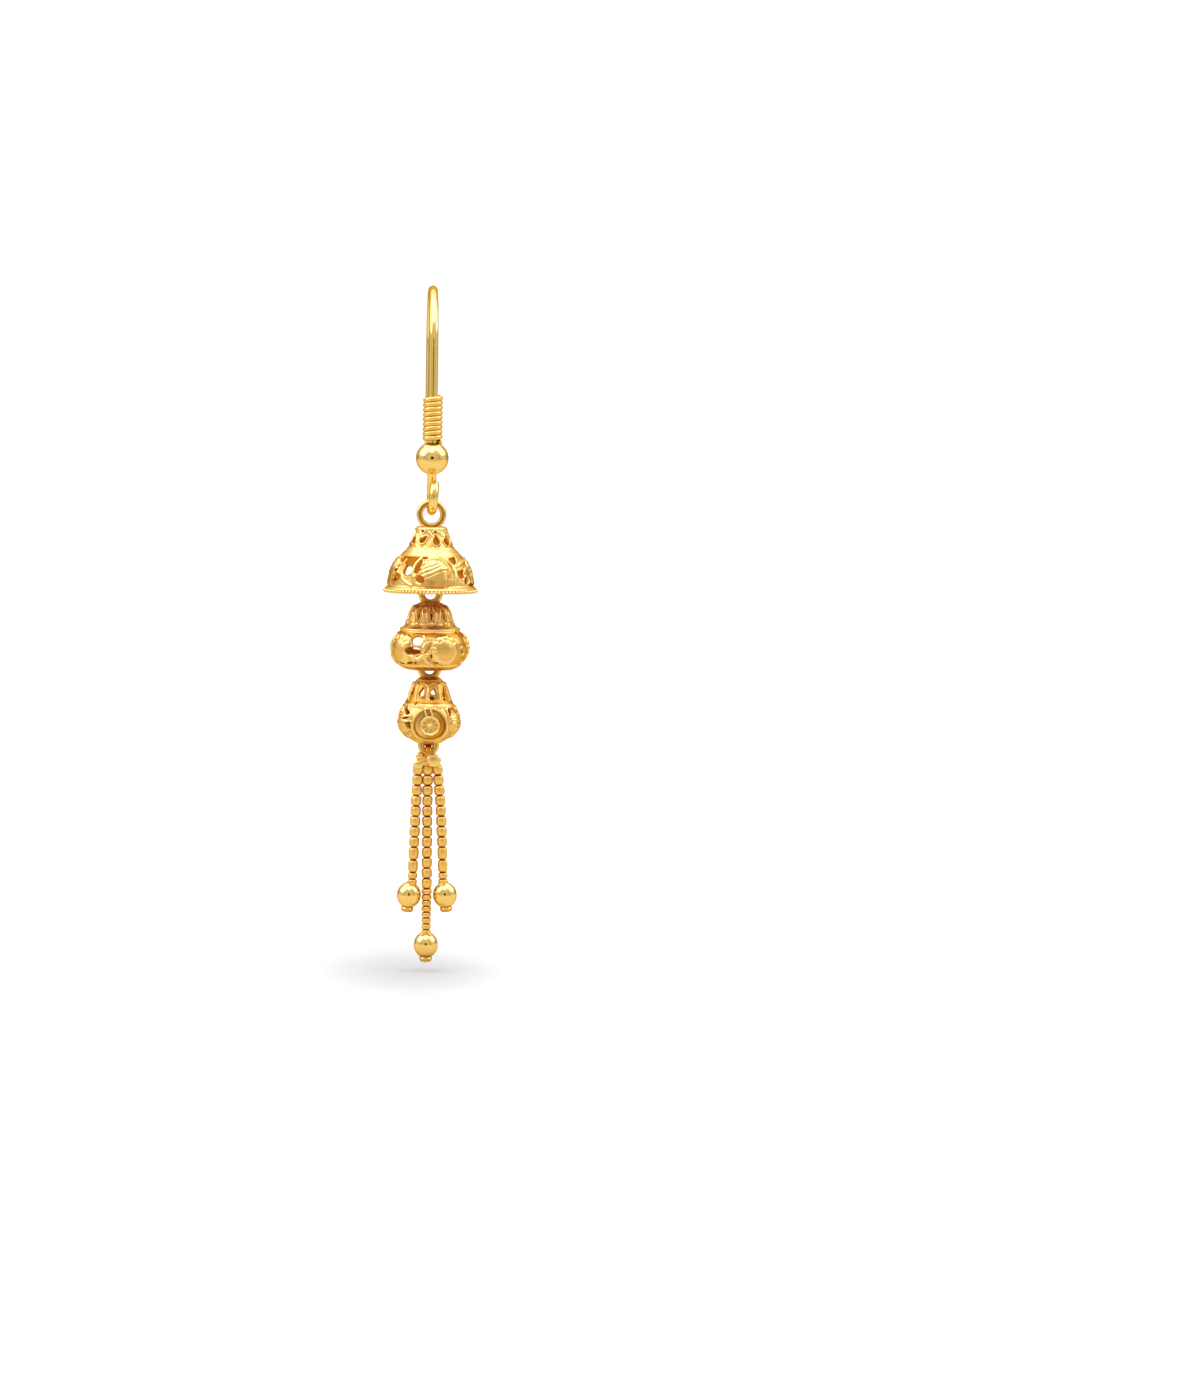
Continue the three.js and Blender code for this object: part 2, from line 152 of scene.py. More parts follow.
def tubeMesh(path, radius, reference, sides, closed=False, flat=1.0, paintedShade=0.0):
    # Circle carried along a path: centre + radius (cos a side + flat sin a up), where side is square
    # to the path and to the reference direction. Open ends are closed by half-round caps.
    radius = np.full(len(path), float(radius))
    if closed:
        tangent = np.roll(path, -1, axis=0) - np.roll(path, 1, axis=0)
    else:
        tangent = np.gradient(path, axis=0)
    tangent /= np.linalg.norm(tangent, axis=1, keepdims=True)
    if not closed:
        lift = np.linspace(0, math.pi / 2, 6)[:-1, None]
        first = path[0] - tangent[0] * radius[0] * np.cos(lift)
        last = path[-1] + tangent[-1] * radius[-1] * np.cos(lift[::-1])
        path = np.vstack([first, path, last])
        tangent = np.vstack([np.tile(tangent[0], (5, 1)), tangent, np.tile(tangent[-1], (5, 1))])
        radius = np.concatenate([radius[0] * np.sin(lift[:, 0]), radius, radius[-1] * np.sin(lift[::-1, 0])])
    side = np.cross(tangent, np.array(reference, float))
    side /= np.linalg.norm(side, axis=1, keepdims=True)
    up = np.cross(side, tangent)
    a = circle(sides)[None, :, None]
    ring = np.cos(a) * side[:, None] + flat * np.sin(a) * up[:, None]
    points = path[:, None] + radius[:, None, None] * ring
    # even painted shade over the whole tube
    return gridMesh(points, "joined" if closed else "poles", np.full(points.shape[:2], paintedShade))


def revolved(radii, heights, centre, sides, paintedShade, axis=(0, 0, 1)):
    # Outline of radius and height turned round an axis through centre, from its top down, with painted shade
    # given for each row
    t = circle(sides)
    turn = Vector((0, 0, 1)).rotation_difference(Vector(axis)).to_matrix()
    points = np.stack([
        radii[:, None] * np.cos(t),
        radii[:, None] * np.sin(t),
        np.broadcast_to(heights[:, None], (len(heights), sides)),
    ], -1) @ np.array(turn).T + np.asarray(centre, float)
    shade = np.broadcast_to(paintedShade[:, None], points.shape[:2])
    return gridMesh(points, "joined" if radii[0] else "poles", shade)


def turnedBy(u, v, spin):
    c, s = math.cos(math.radians(spin)), math.sin(math.radians(spin))
    return u * c + v * s, v * c - u * s


def ovalEdge(u, v, width, height, spin=0):
    # Signed distance to an ellipse, near enough: k (k - 1) / g, k its scaled radius, g that of its slope
    u, v = turnedBy(u + 1e-7, v + 1e-7, spin)
    a, b = width / 2, height / 2
    k = np.hypot(u / a, v / b)
    return k * (k - 1) / np.hypot(u / a ** 2, v / b ** 2)


def dropEdge(u, v, width, height, spin=0):
    # Teardrop: a big circle below, a small one above, and the two lines that touch both
    u, v = turnedBy(u, v, spin)
    big, tip = width / 2, 0.05
    span = height - big - tip
    b = (big - tip) / span
    a = math.sqrt(1 - b * b)
    x, y = np.abs(u), v + height / 2 - big
    k = a * y - b * x
    sideways = x * a + y * b - big
    above = np.where(k > a * span, np.hypot(x, y - span) - tip, sideways)
    return np.where(k < 0, np.hypot(x, y) - big, above)


def archEdge(u, v, width, top):
    # Round-headed arch that runs down without end
    return np.hypot(u, np.maximum(v - (top - width / 2), 0)) - width / 2


def barLine(u, v, x0, y0, x1, y1):
    dx, dy = x1 - x0, y1 - y0
    t = np.clip(((u - x0) * dx + (v - y0) * dy) / (dx * dx + dy * dy), 0, 1)
    return np.hypot(u - x0 - t * dx, v - y0 - t * dy)


def wireRise(distance, width, height):
    # Half-round wire laid along a line
    return height * np.sqrt(np.clip(1 - (distance / (width / 2)) ** 2, 0, 1))


def domeRise(edge, reach, height):
    # Swells from an outline to full height at a distance inside it
    t = np.clip(-edge / reach, 0, 1)
    return height * np.sqrt(1 - (1 - t) ** 2)


def peak(x, width):
    return np.exp(-(x / width) ** 2)


def softStep(x, low, high):
    t = np.clip((x - low) / (high - low), 0, 1)
    return t * t * (3 - 2 * t)


class TierWall:
    # Turned wall of a tier as a grid of turn (degrees from the front, towards +X) and arc (mm down its
    # outline). Its outline is a table of (below, radius) in mm, rounded a little at the corners.
    def __init__(self, form, topZ):
        table = np.array([(0, 0)] + form, float)
        steps = np.hypot(*np.diff(table, axis=0).T)
        arc = np.concatenate([[0], np.cumsum(steps)])
        fine = np.linspace(0, arc[-1], 1200)
        line = np.stack([np.interp(fine, arc, table[:, k]) for k in (0, 1)])
        spread = int(tierGrid["softness"] / (fine[1] - fine[0]))
        window = np.hanning(2 * spread + 1)[1:-1]
        window /= window.sum()
        pad = len(window) // 2
        before = 2 * line[:, :1] - line[:, pad:0:-1]
        after = 2 * line[:, -1:] - line[:, -2:-pad - 2:-1]
        padded = np.hstack([before, line, after])
        self.below, self.radius = [np.convolve(row, window, "valid") for row in padded]
        self.radius[0] = 0
        self.arc = np.concatenate([[0], np.cumsum(np.hypot(np.diff(self.below), np.diff(self.radius)))])
        slope = np.stack([np.gradient(self.radius, self.arc), -np.gradient(self.below, self.arc)])
        slope /= np.hypot(*slope)
        self.normal = np.stack([-slope[1], slope[0]])
        self.topZ = topZ
        # two wide rows over the flat top, then even ones
        lid = 0.75 * form[0][1]
        places = np.concatenate([[0, lid / 2], np.linspace(lid, self.arc[-1], tierGrid["rows"] - 2)])
        self.cell = places[-1] - places[-2]
        self.turn, self.down = np.meshgrid(np.linspace(0, 360, tierGrid["cols"], endpoint=False), places)

    def arcAt(self, below):
        return np.interp(below, self.below, self.arc)

    def radiusAt(self, down):
        return np.interp(down, self.arc, self.radius)

    def offset(self, start, end):
        # u and v from one (turn, below) to another
        u = math.radians(end[0] - start[0]) * self.radiusAt(self.arcAt(end[1]))
        return u, self.arcAt(start[1]) - self.arcAt(end[1])

    def near(self, turn, below):
        # u and v of every grid point, seen from a place on the wall
        u = np.radians((self.turn - turn + 180) % 360 - 180) * self.radiusAt(self.down)
        return u, self.arcAt(below) - self.down

    def snapTo(self, edge):
        # Points just inside a hole move onto its outline, down the slope of the distance
        radius = np.maximum(self.radiusAt(self.down), 0.05)       # mm, so that the top's middle stays finite
        width = np.radians(360 / edge.shape[1]) * radius
        along = np.gradient(edge, self.down[:, 0], axis=0)
        across = (np.roll(edge, -1, 1) - np.roll(edge, 1, 1)) / (2 * width)
        steep = np.maximum(along ** 2 + across ** 2, 0.3)
        reach = np.clip(-edge, 0, np.maximum(width, self.cell) * 1.3) / steep
        self.turn = self.turn + np.degrees(reach * across / radius)
        self.down = np.clip(self.down + reach * along, 0, self.arc[-1])

    def points(self, rise):
        t = np.radians(self.turn)
        outward, upward, below = [np.interp(self.down, self.arc, row) for row in (*self.normal, self.below)]
        out = self.radiusAt(self.down) + rise * outward
        z = -below + rise * upward
        return np.stack([out * np.sin(t) * mm, dropAxis - out * np.cos(t) * mm, self.topZ + z * mm], -1)

    def place(self, turn, below):
        # Centre and the round, up and level outward directions of a place on the wall, in metres
        t = math.radians(turn)
        radial = np.array([math.sin(t), -math.cos(t), 0])
        around = np.array([math.cos(t), math.sin(t), 0])
        foot = np.array([0, dropAxis, self.topZ - below * mm])
        centre = radial * self.radiusAt(self.arcAt(below)) * mm + foot
        up = np.array([0.0, 0.0, 1.0])
        return centre, around, up, np.cross(around, up)


def pierced(wall, openings, relief):
    # The wall with its holes left out, its relief raised, and an inner skin below it. openings(wall)
    # gives the distance to the nearest hole, relief(wall, below, distance) the height in mm and the
    # painted-shade mask from 0 to 1. Each open edge of the outer skin is closed by a quad to the inner one.
    solid = openings(wall) >= 0
    keep = solid[:-1] | solid[1:] | np.roll(solid, -1, 1)[:-1] | np.roll(solid, -1, 1)[1:]
    wall.snapTo(openings(wall))
    edge = np.maximum(openings(wall), 0)
    rise, paintedShade = relief(wall, np.interp(wall.down, wall.arc, wall.below), edge)
    skin = edge.size
    index = np.arange(skin).reshape(edge.shape)
    index[0] = 0
    quads = quadsOf(np.hstack([index, index[:, :1]]))[keep]
    start, end = quads.reshape(-1), np.roll(quads, -1, axis=1).reshape(-1)
    real = start != end
    start, end = start[real], end[real]
    bare = ~np.isin(start * skin + end, end * skin + start)
    start, end = start[bare], end[bare]
    rims = np.stack([end, start, start + skin, end + skin], -1)
    # inner skin: no relief, and the even painted shade innerShade on all its points
    inner = wall.points(-tierGrid["wall"] + 0 * rise)
    mesh = meshOfQuads(
        np.concatenate([wall.points(rise), inner]),
        np.vstack([quads, quads[:, ::-1] + skin, rims]),
        np.concatenate([np.clip(paintedShade, 0, 1).reshape(-1), np.full(skin, tierGrid["innerShade"])]),
        np.repeat([0, 1, 1], [len(quads), len(quads), len(rims)]))
    mesh.set_sharp_from_angle(angle=math.radians(tierGrid["sharpAngle"]))
    return mesh


def node(tree, kind, inputs=(), **settings):
    # inputs maps names or numbers of sockets to values
    made = tree.nodes.new("ShaderNode" + kind)
    for key, value in settings.items():
        setattr(made, key, value)
    for key, value in dict(inputs).items():
        made.inputs[key].default_value = value
    return made


def wire(tree, *rows):
    # Each row is a node, its output, the next node and its input
    for source, output, target, socket in rows:
        tree.links.new(source.outputs[output], target.inputs[socket])


def newGroup(name, inputs, outputs):
    # A tuple is the value of a colour socket and a number that of a plain one
    group = bpy.data.node_groups.new(name, "ShaderNodeTree")
    for socket, value in inputs.items():
        kind = "NodeSocketColor" if isinstance(value, tuple) else "NodeSocketFloat"
        group.interface.new_socket(socket, in_out="INPUT", socket_type=kind).default_value = value
    for socket, kind in outputs.items():
        group.interface.new_socket(socket, in_out="OUTPUT", socket_type=kind)
    into, out = [group.nodes.new("NodeGroup" + end) for end in ("Input", "Output")]
    return group, into, out, node(group, "TexCoord")


def buildGoldTone():
    # Raised gold where nothing is shaded, and Deep orange gold as painted shade where the painted-shade mask
    # asks for it, or a little where a slow noise shifts the tone
    group, into, out, where = newGroup(
        "goldTone", {"Raised": (1, 0.8, 0.4, 1), "Deep": (0.9, 0.5, 0.1, 1), "PaintedShade": 0.0, "Drift": 0.15},
        {"Color": "NodeSocketColor"})
    noise = node(group, "TexNoise", {"Scale": 900.0, "Detail": 3.0})
    centred = node(group, "Math", {1: 0.45}, operation="SUBTRACT")
    drift = node(group, "Math", operation="MULTIPLY_ADD")
    mix = node(group, "Mix", data_type="RGBA", clamp_factor=True)
    wire(group, (where, "Object", noise, "Vector"), (noise, "Fac", centred, 0), (centred, 0, drift, 0),
         (into, "Drift", drift, 1), (into, "PaintedShade", drift, 2), (drift, 0, mix, 0),
         (into, "Raised", mix, 6), (into, "Deep", mix, 7), (mix, 2, out, "Color"))
    return group


def buildCastGrain():
    # Fine pitted skin of a casting: small noise with shallow pits between round grains
    group, into, out, where = newGroup(
        "castGrain", {"Size": 9000.0, "Pits": 0.4}, {"Height": "NodeSocketFloat"})
    noise = node(group, "TexNoise", {"Detail": 4.0})
    cells = node(group, "TexVoronoi")
    mixed = node(group, "Math", operation="MULTIPLY_ADD")
    wire(group, (where, "Object", noise, "Vector"), (where, "Object", cells, "Vector"),
         (into, "Size", noise, "Scale"), (into, "Size", cells, "Scale"), (cells, "Distance", mixed, 0),
         (into, "Pits", mixed, 1), (noise, "Fac", mixed, 2), (mixed, 0, out, "Height"))
    return group


def buildHandWear():
    # Roughness that drifts between well rubbed and dull, with faint fine scratches
    group, into, out, where = newGroup(
        "handWear", {"Low": 0.1, "High": 0.3, "Scale": 700.0},
        {"Roughness": "NodeSocketFloat", "Scratch": "NodeSocketFloat"})
    noise = node(group, "TexNoise", {"Detail": 5.0, "Roughness": 0.65})
    spread = node(group, "MapRange", {"From Min": 0.3, "From Max": 0.7})
    stretch = node(group, "Mapping", {"Scale": (9000, 1200, 1600), "Rotation": (0.4, 0.7, 0.3)})
    lines = node(group, "TexNoise", {"Scale": 1.0, "Detail": 2.0})
    wire(group, (where, "Object", noise, "Vector"), (into, "Scale", noise, "Scale"),
         (noise, "Fac", spread, "Value"), (into, "Low", spread, "To Min"),
         (into, "High", spread, "To Max"), (spread, 0, out, "Roughness"),
         (where, "Object", stretch, "Vector"), (stretch, 0, lines, "Vector"), (lines, "Fac", out, "Scratch"))
    return group


goldTone = buildGoldTone()
castGrain = buildCastGrain()
handWear = buildHandWear()

# the sockets of goldTone, handWear and castGrain, and the depth of the bump in mm. Deep is the colour that
# painted shade mixes towards
finishes = {
    "polishedGold": {"Raised": (0.97, 0.70, 0.27, 1), "Deep": (0.62, 0.28, 0.03, 1), "Drift": 0.08,
                     "Low": 0.07, "High": 0.13, "Scale": 500.0, "Size": 9000.0, "Pits": 0.2, "bump": 0.0005},
    "castGold": {"Raised": (0.95, 0.69, 0.28, 1), "Deep": (0.64, 0.27, 0.02, 1), "Drift": 0.22,
                 "Low": 0.24, "High": 0.36, "Scale": 1100.0, "Size": 7000.0, "Pits": 0.6, "bump": 0.004},
    # darker, more orange copy for the bell's inner skin and hole walls: painted shade, on a rougher
    # unpolished finish
    "shadedInnerGold": {"Raised": (0.92, 0.52, 0.10, 1), "Deep": (0.66, 0.28, 0.02, 1), "Drift": 0.3,
                  "Low": 0.32, "High": 0.5, "Scale": 900.0, "Size": 6000.0, "Pits": 0.7, "bump": 0.005},
    "beadGold": {"Raised": (0.92, 0.62, 0.20, 1), "Deep": (0.60, 0.25, 0.02, 1), "Drift": 0.2,
                 "Low": 0.3, "High": 0.42, "Scale": 900.0, "Size": 7000.0, "Pits": 0.4, "bump": 0.003},
    # lighter copy for the lanterns' inner skin and hole walls: painted light, as if light came in through the
    # holes
    "litLanternInside": {"Raised": (1.0, 0.70, 0.25, 1), "Deep": (0.96, 0.56, 0.12, 1), "Drift": 0.4,
                      "Low": 0.4, "High": 0.6, "Scale": 900.0, "Size": 6000.0, "Pits": 0.7, "bump": 0.005},
}


def newMaterial(name, inputs):
    material = bpy.data.materials.new(name)
    material.use_nodes = True
    shader = material.node_tree.nodes["Principled BSDF"]
    for key, value in inputs.items():
        shader.inputs[key].default_value = value
    return material, material.node_tree, shader


def goldFinish(name):
    look = finishes[name]
    edgeTint = (0.72, 0.47, 0.10, 1)      # edges stay gold
    material, tree, shader = newMaterial(name, {"Metallic": 1.0, "Specular Tint": edgeTint})
    tone, wear, grain = [node(tree, "Group", node_tree=group) for group in (goldTone, handWear, castGrain)]
    for made in (tone, wear, grain):
        for socket in made.inputs:
            if socket.name in look:
                socket.default_value = look[socket.name]
    # the painted-shade mask mixes the colour towards Deep
    mask = node(tree, "Attribute", attribute_name="paintedShade")
    height = node(tree, "Math", {1: 0.35}, operation="MULTIPLY_ADD")
    bump = node(tree, "Bump", {"Strength": 1.0, "Distance": look["bump"] * mm})
    wire(tree, (mask, "Fac", tone, "PaintedShade"), (tone, "Color", shader, "Base Color"),
         (wear, "Roughness", shader, "Roughness"), (wear, "Scratch", height, 0), (grain, "Height", height, 2),
         (height, 0, bump, "Height"), (bump, "Normal", shader, "Normal"))
    return material


polishedGold, castGold, shadedInnerGold, beadGold, litLanternInside = [goldFinish(name) for name in finishes]
print("finishes made")


hook = {"archRadius": -dropAxis / mm, "eyeRadius": 1.15, "eyeStart": 62, "eyeEnd": -236, "endShift": 0.18,
        "tailFlare": 0.55, "tailBend": 0.12, "samples": 420, "sides": 24}


def smoothPath(points, count):
    # Catmull-Rom curve through the points, spaced evenly along its length
    points = np.asarray(points, float)
    padded = np.vstack([2 * points[0] - points[1], points, 2 * points[-1] - points[-2]])
    t = np.linspace(0, 1, 24, endpoint=False)[None, :, None]
    a, b, c, d = [padded[k:len(padded) - 3 + k, None] for k in range(4)]
    curve = 0.5 * (2 * b + (c - a) * t + (2 * a - 5 * b + 4 * c - d) * t ** 2
                   + (3 * b - a - 3 * c + d) * t ** 3)
    curve = np.vstack([curve.reshape(-1, 3), points[-1]])
    run = np.concatenate([[0], np.cumsum(np.linalg.norm(np.diff(curve, axis=0), axis=1))])
    even = np.linspace(0, run[-1], count)
    return np.stack([np.interp(even, run, curve[:, k]) for k in range(3)], -1)


def makeHook():
    # Tail, half-circle arch, straight limb, and the eye: a circle that starts at 62 degrees, runs 298
    # degrees round and drifts aside so that its end passes the limb
    wireR = wireRadius / mm
    archZ = wireR - hook["archRadius"]
    tailZ = min(point.co.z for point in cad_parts["ear_hook"].data.vertices if point.co.y > 0) / mm
    tail = [(0, hook["archRadius"] + hook["tailFlare"], tailZ),
            (0, hook["archRadius"] + hook["tailBend"], tailZ + 2.6), (0, hook["archRadius"], archZ - 2.5)]
    a = np.radians(np.arange(0, 181, 15))
    arch = np.stack([0 * a, hook["archRadius"] * np.cos(a), archZ + hook["archRadius"] * np.sin(a)], -1)
    limb = [(0, dropAxis / mm, archZ + z) for z in (-0.3, -3.2, -6.4, -9.6)]
    turn = np.linspace(hook["eyeStart"], hook["eyeEnd"], 16)
    eyeZ = hookLow.z / mm + wireR + hook["eyeRadius"]
    eye = np.stack([
        np.maximum(0, (-90 - turn) / 130) * hook["endShift"],
        dropAxis / mm + hook["eyeRadius"] * np.cos(np.radians(turn)),
        eyeZ + hook["eyeRadius"] * np.sin(np.radians(turn)),
    ], -1)
    start = [(0, dropAxis / mm + 0.04, beadLow.z / mm)]
    path = smoothPath(np.vstack([tail, arch, limb, start, eye]), hook["samples"]) * mm
    mesh = tubeMesh(path, wireRadius, (1, 0, 0), hook["sides"])
    addPiece("earHook", mesh, "hook", "polished_gold", polishedGold, replaces=["ear_hook"])


coil = {"pitch": 0.39, "gap": 0.05, "spread": 0.05, "tipDrop": 0.10, "waver": 0.012, "samples": 40,
        "sides": 14}


def makeCoil():
    # Helix round the limb: radius (cos a, sin a), rising one pitch a turn, the lowest turn tipped over
    low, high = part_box("hook_coil")
    outer = (high.x - low.x) / 2 / mm + coil["spread"]
    wireR = (outer - wireRadius / mm - coil["gap"]) / 2
    turns = (high.z - low.z) / mm / coil["pitch"] - 0.9
    a = np.linspace(0, 2 * math.pi * turns, int(turns * coil["samples"]))
    radius = wireRadius / mm + 0.02 + wireR
    lift = low.z / mm + wireR + coil["pitch"] * a / (2 * math.pi)
    tip = np.clip(1 - a / (2 * math.pi), 0, 1)
    lift = lift - coil["tipDrop"] * tip * np.cos(a + 0.6)
    lift = lift + coil["waver"] * np.sin(2.3 * a)
    path = np.stack([radius * np.cos(a), dropAxis / mm + radius * np.sin(a), lift], -1) * mm
    mesh = tubeMesh(path, wireR * mm, (0, 0, 1), coil["sides"])
    # painted shade on the inner side of the wire, towards the limb
    co = spotsOf(mesh)
    inward = radius - np.hypot(co[:, 0], co[:, 1] - dropAxis) / mm
    setPaintedShade(mesh, softStep(inward, -0.12, 0.05) * 0.5)
    addPiece("hookCoil", mesh, "hook", "polished_gold", beadGold, replaces=["hook_coil"])


bead = {"rows": 60, "sides": 96, "spread": 0.07, "boreGap": 0.03}


def makeBead():
    # Sphere with a bore: an arc from lip to lip, closed by the bore's wall
    radius = (beadHigh.x - beadLow.x) / 2 / mm + bead["spread"]
    bore = wireRadius / mm + bead["boreGap"]
    edge = math.asin((bore + 0.05) / radius)
    a = np.linspace(edge, math.pi - edge, bead["rows"])
    r = np.concatenate([[bore, bore + 0.02], radius * np.sin(a), [bore + 0.02, bore]])
    top = radius * math.cos(edge)
    z = np.concatenate([[top - 0.05, top - 0.015], radius * np.cos(a), [0.015 - top, 0.05 - top]])
    centre = (0, dropAxis, (beadLow.z + beadHigh.z) / 2)
    # painted shade in the bore and at its lips
    shade = np.concatenate([[1, 0.6], 0 * a, [0.6, 1]])
    mesh = revolved(r * mm, z * mm, centre, bead["sides"], shade)
    addPiece("hookBead", mesh, "hook", "polished_gold", polishedGold, replaces=["hook_bead"])


makeHook()
makeCoil()
makeBead()
print("hook, coil and bead made")


def ringMesh(centreZ, radius, wireR, ridge=0.0, facing="front", offset=(0, 0), steps=64, flat=1.0, shade=0.0):
    # Circle of wire in the plane that faces the front, or in the side plane, with a groove along it
    a = circle(steps)
    level, up, zero = radius * np.cos(a), radius * np.sin(a), np.zeros(steps)
    plane, reference = ((level, zero, up), (0, 1, 0)) if facing == "front" else ((zero, level, up), (1, 0, 0))
    centreX, centreY = offset[0] * mm, dropAxis + offset[1] * mm
    path = np.stack(plane, -1) * mm + np.array([centreX, centreY, centreZ])
    mesh = tubeMesh(path, wireR * mm, reference, sides=20, closed=True, flat=flat, paintedShade=shade)
    if ridge:
        co = spotsOf(mesh)
        across = np.abs(co[:, 1] - centreY) / mm
        ringR = np.hypot(co[:, 0] - centreX, co[:, 2] - centreZ) / mm
        groove = peak(ringR - radius, wireR * 0.3) * softStep(across, wireR * 0.4, wireR * 0.8)
        co[:, 1] -= np.sign(co[:, 1] - centreY) * ridge * wireR * 0.5 * groove * mm
        mesh.vertices.foreach_set("co", co.reshape(-1))
        # painted shade in the groove, and a little over the rest of the ring
        setPaintedShade(mesh, np.maximum(groove, 0.2))
    return mesh


def tierRing(topZ, ring, ridge):
    return ringMesh(topZ + ring["rise"] * mm, ring["radius"], ring["wire"], ridge)


def linkMesh(topZ, ring):
    # Two legs down from the top and a half circle under the ring that rides on it
    half, wireR = link["half"], link["wire"]
    a = np.radians(np.linspace(0, 180, 25))
    foot = topOf(ring) + (ring["rise"] + ring["radius"] - ring["wire"] - 0.05 - wireR) * mm
    legs = np.linspace((topZ - 0.15 * mm) / mm, foot / mm + half, 14)[:-1]
    y = np.concatenate([np.full(13, half), half * np.cos(a), np.full(13, -half)])
    z = np.concatenate([legs, foot / mm + half - half * np.sin(a), legs[::-1]])
    path = np.stack([0 * y, dropAxis / mm + y, z], -1) * mm
    # painted shade over the whole link
    return tubeMesh(path, wireR * mm, (1, 0, 0), sides=12, paintedShade=0.8)


def topOf(ring):
    # z of a tier's flat top, from the top of the ring that stands on it
    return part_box(ring["node"])[1].z - (ring["rise"] + ring["radius"] + ring["wire"]) * mm


bellRing = {"node": "upper_bell", "rise": 0.96, "radius": 0.96, "wire": 0.26}
middleRing = {"node": "middle_lantern", "rise": 0.70, "radius": 0.73, "wire": 0.27}
lowerRing = {"node": "lower_lantern", "rise": 0.68, "radius": 0.70, "wire": 0.27}
link = {"half": 0.5, "wire": 0.18}
tierGrid = {"cols": 352, "rows": 136, "wall": 0.24, "softness": 0.11, "innerShade": 0.7, "sharpAngle": 55}


def outlineEdge(wall, corners, rounding=0.05):
    # Signed distance to a rounded outline with corners at (turn, below), negative inside it
    u, v = wall.near(*corners[0])
    spots = [wall.offset(corners[0], corner) for corner in corners]
    distance = np.full(u.shape, 9.0)
    inside = np.zeros(u.shape, bool)
    for (x0, y0), (x1, y1) in zip(spots, spots[1:] + spots[:1]):
        distance = np.minimum(distance, barLine(u, v, x0, y0, x1, y1))
        inside ^= ((y0 > v) != (y1 > v)) & (u < x0 + (v - y0) * (x1 - x0) / (y1 - y0 + 1e-9))
    return np.where(inside, -distance, distance) - rounding


def holeEdges(wall, ovals, drops, outlines=()):
    # Distance to the nearest hole: rows of turn, below, width, height and spin, and outlines
    edges = [outlineEdge(wall, corners) for corners in outlines]
    for shape, rows in ((ovalEdge, ovals), (dropEdge, drops)):
        edges += [shape(*wall.near(*row[:2]), *row[2:]) for row in rows]
    return np.minimum.reduce(edges)


def wireEdges(wall, wires):
    # Distance to the nearest wire: each runs smoothly through a few (turn, below) places
    nearest = np.full(wall.turn.shape, 9.0)
    for places in wires:
        path = smoothPath([(*place, 0) for place in places], 4 * len(places))[:, :2]
        for start, end in zip(path[:-1], path[1:]):
            u, v = wall.near(*start)
            nearest = np.minimum(nearest, barLine(u, v, 0, 0, *wall.offset(start, end)))
    return nearest


def turnedBack(rows, turn):
    # The same outlines or wires, a turn further round
    return [[(a + turn, b) for a, b in places] for places in rows]


def turnedHoles(rows, turn):
    return [(row[0] + turn, *row[1:]) for row in rows]


def layWires(wall, rise, paintedShade, field, wires, width, height):
    # Half-round wires on the ground where the field is, with the painted shade cleared along their crests
    edge = wireEdges(wall, wires)
    rise = np.maximum(rise, field * wireRise(edge, width, height))
    return rise, np.where((edge < width * 0.45) & (field > 0), 0, paintedShade)


def blend(inside, rise, swell, paintedShade, shade):
    return rise * (1 - inside) + swell * inside, paintedShade * (1 - inside) + shade * inside


def strokes(wall, spacing, slant):
    # Fine engraved strokes over the ground: -1 in the groove, 1 on the crest
    u = np.radians(wall.turn) * 3.0
    return np.sin(2 * math.pi * (wall.down + slant * u + 0.05 * np.sin(4 * u)) / spacing)


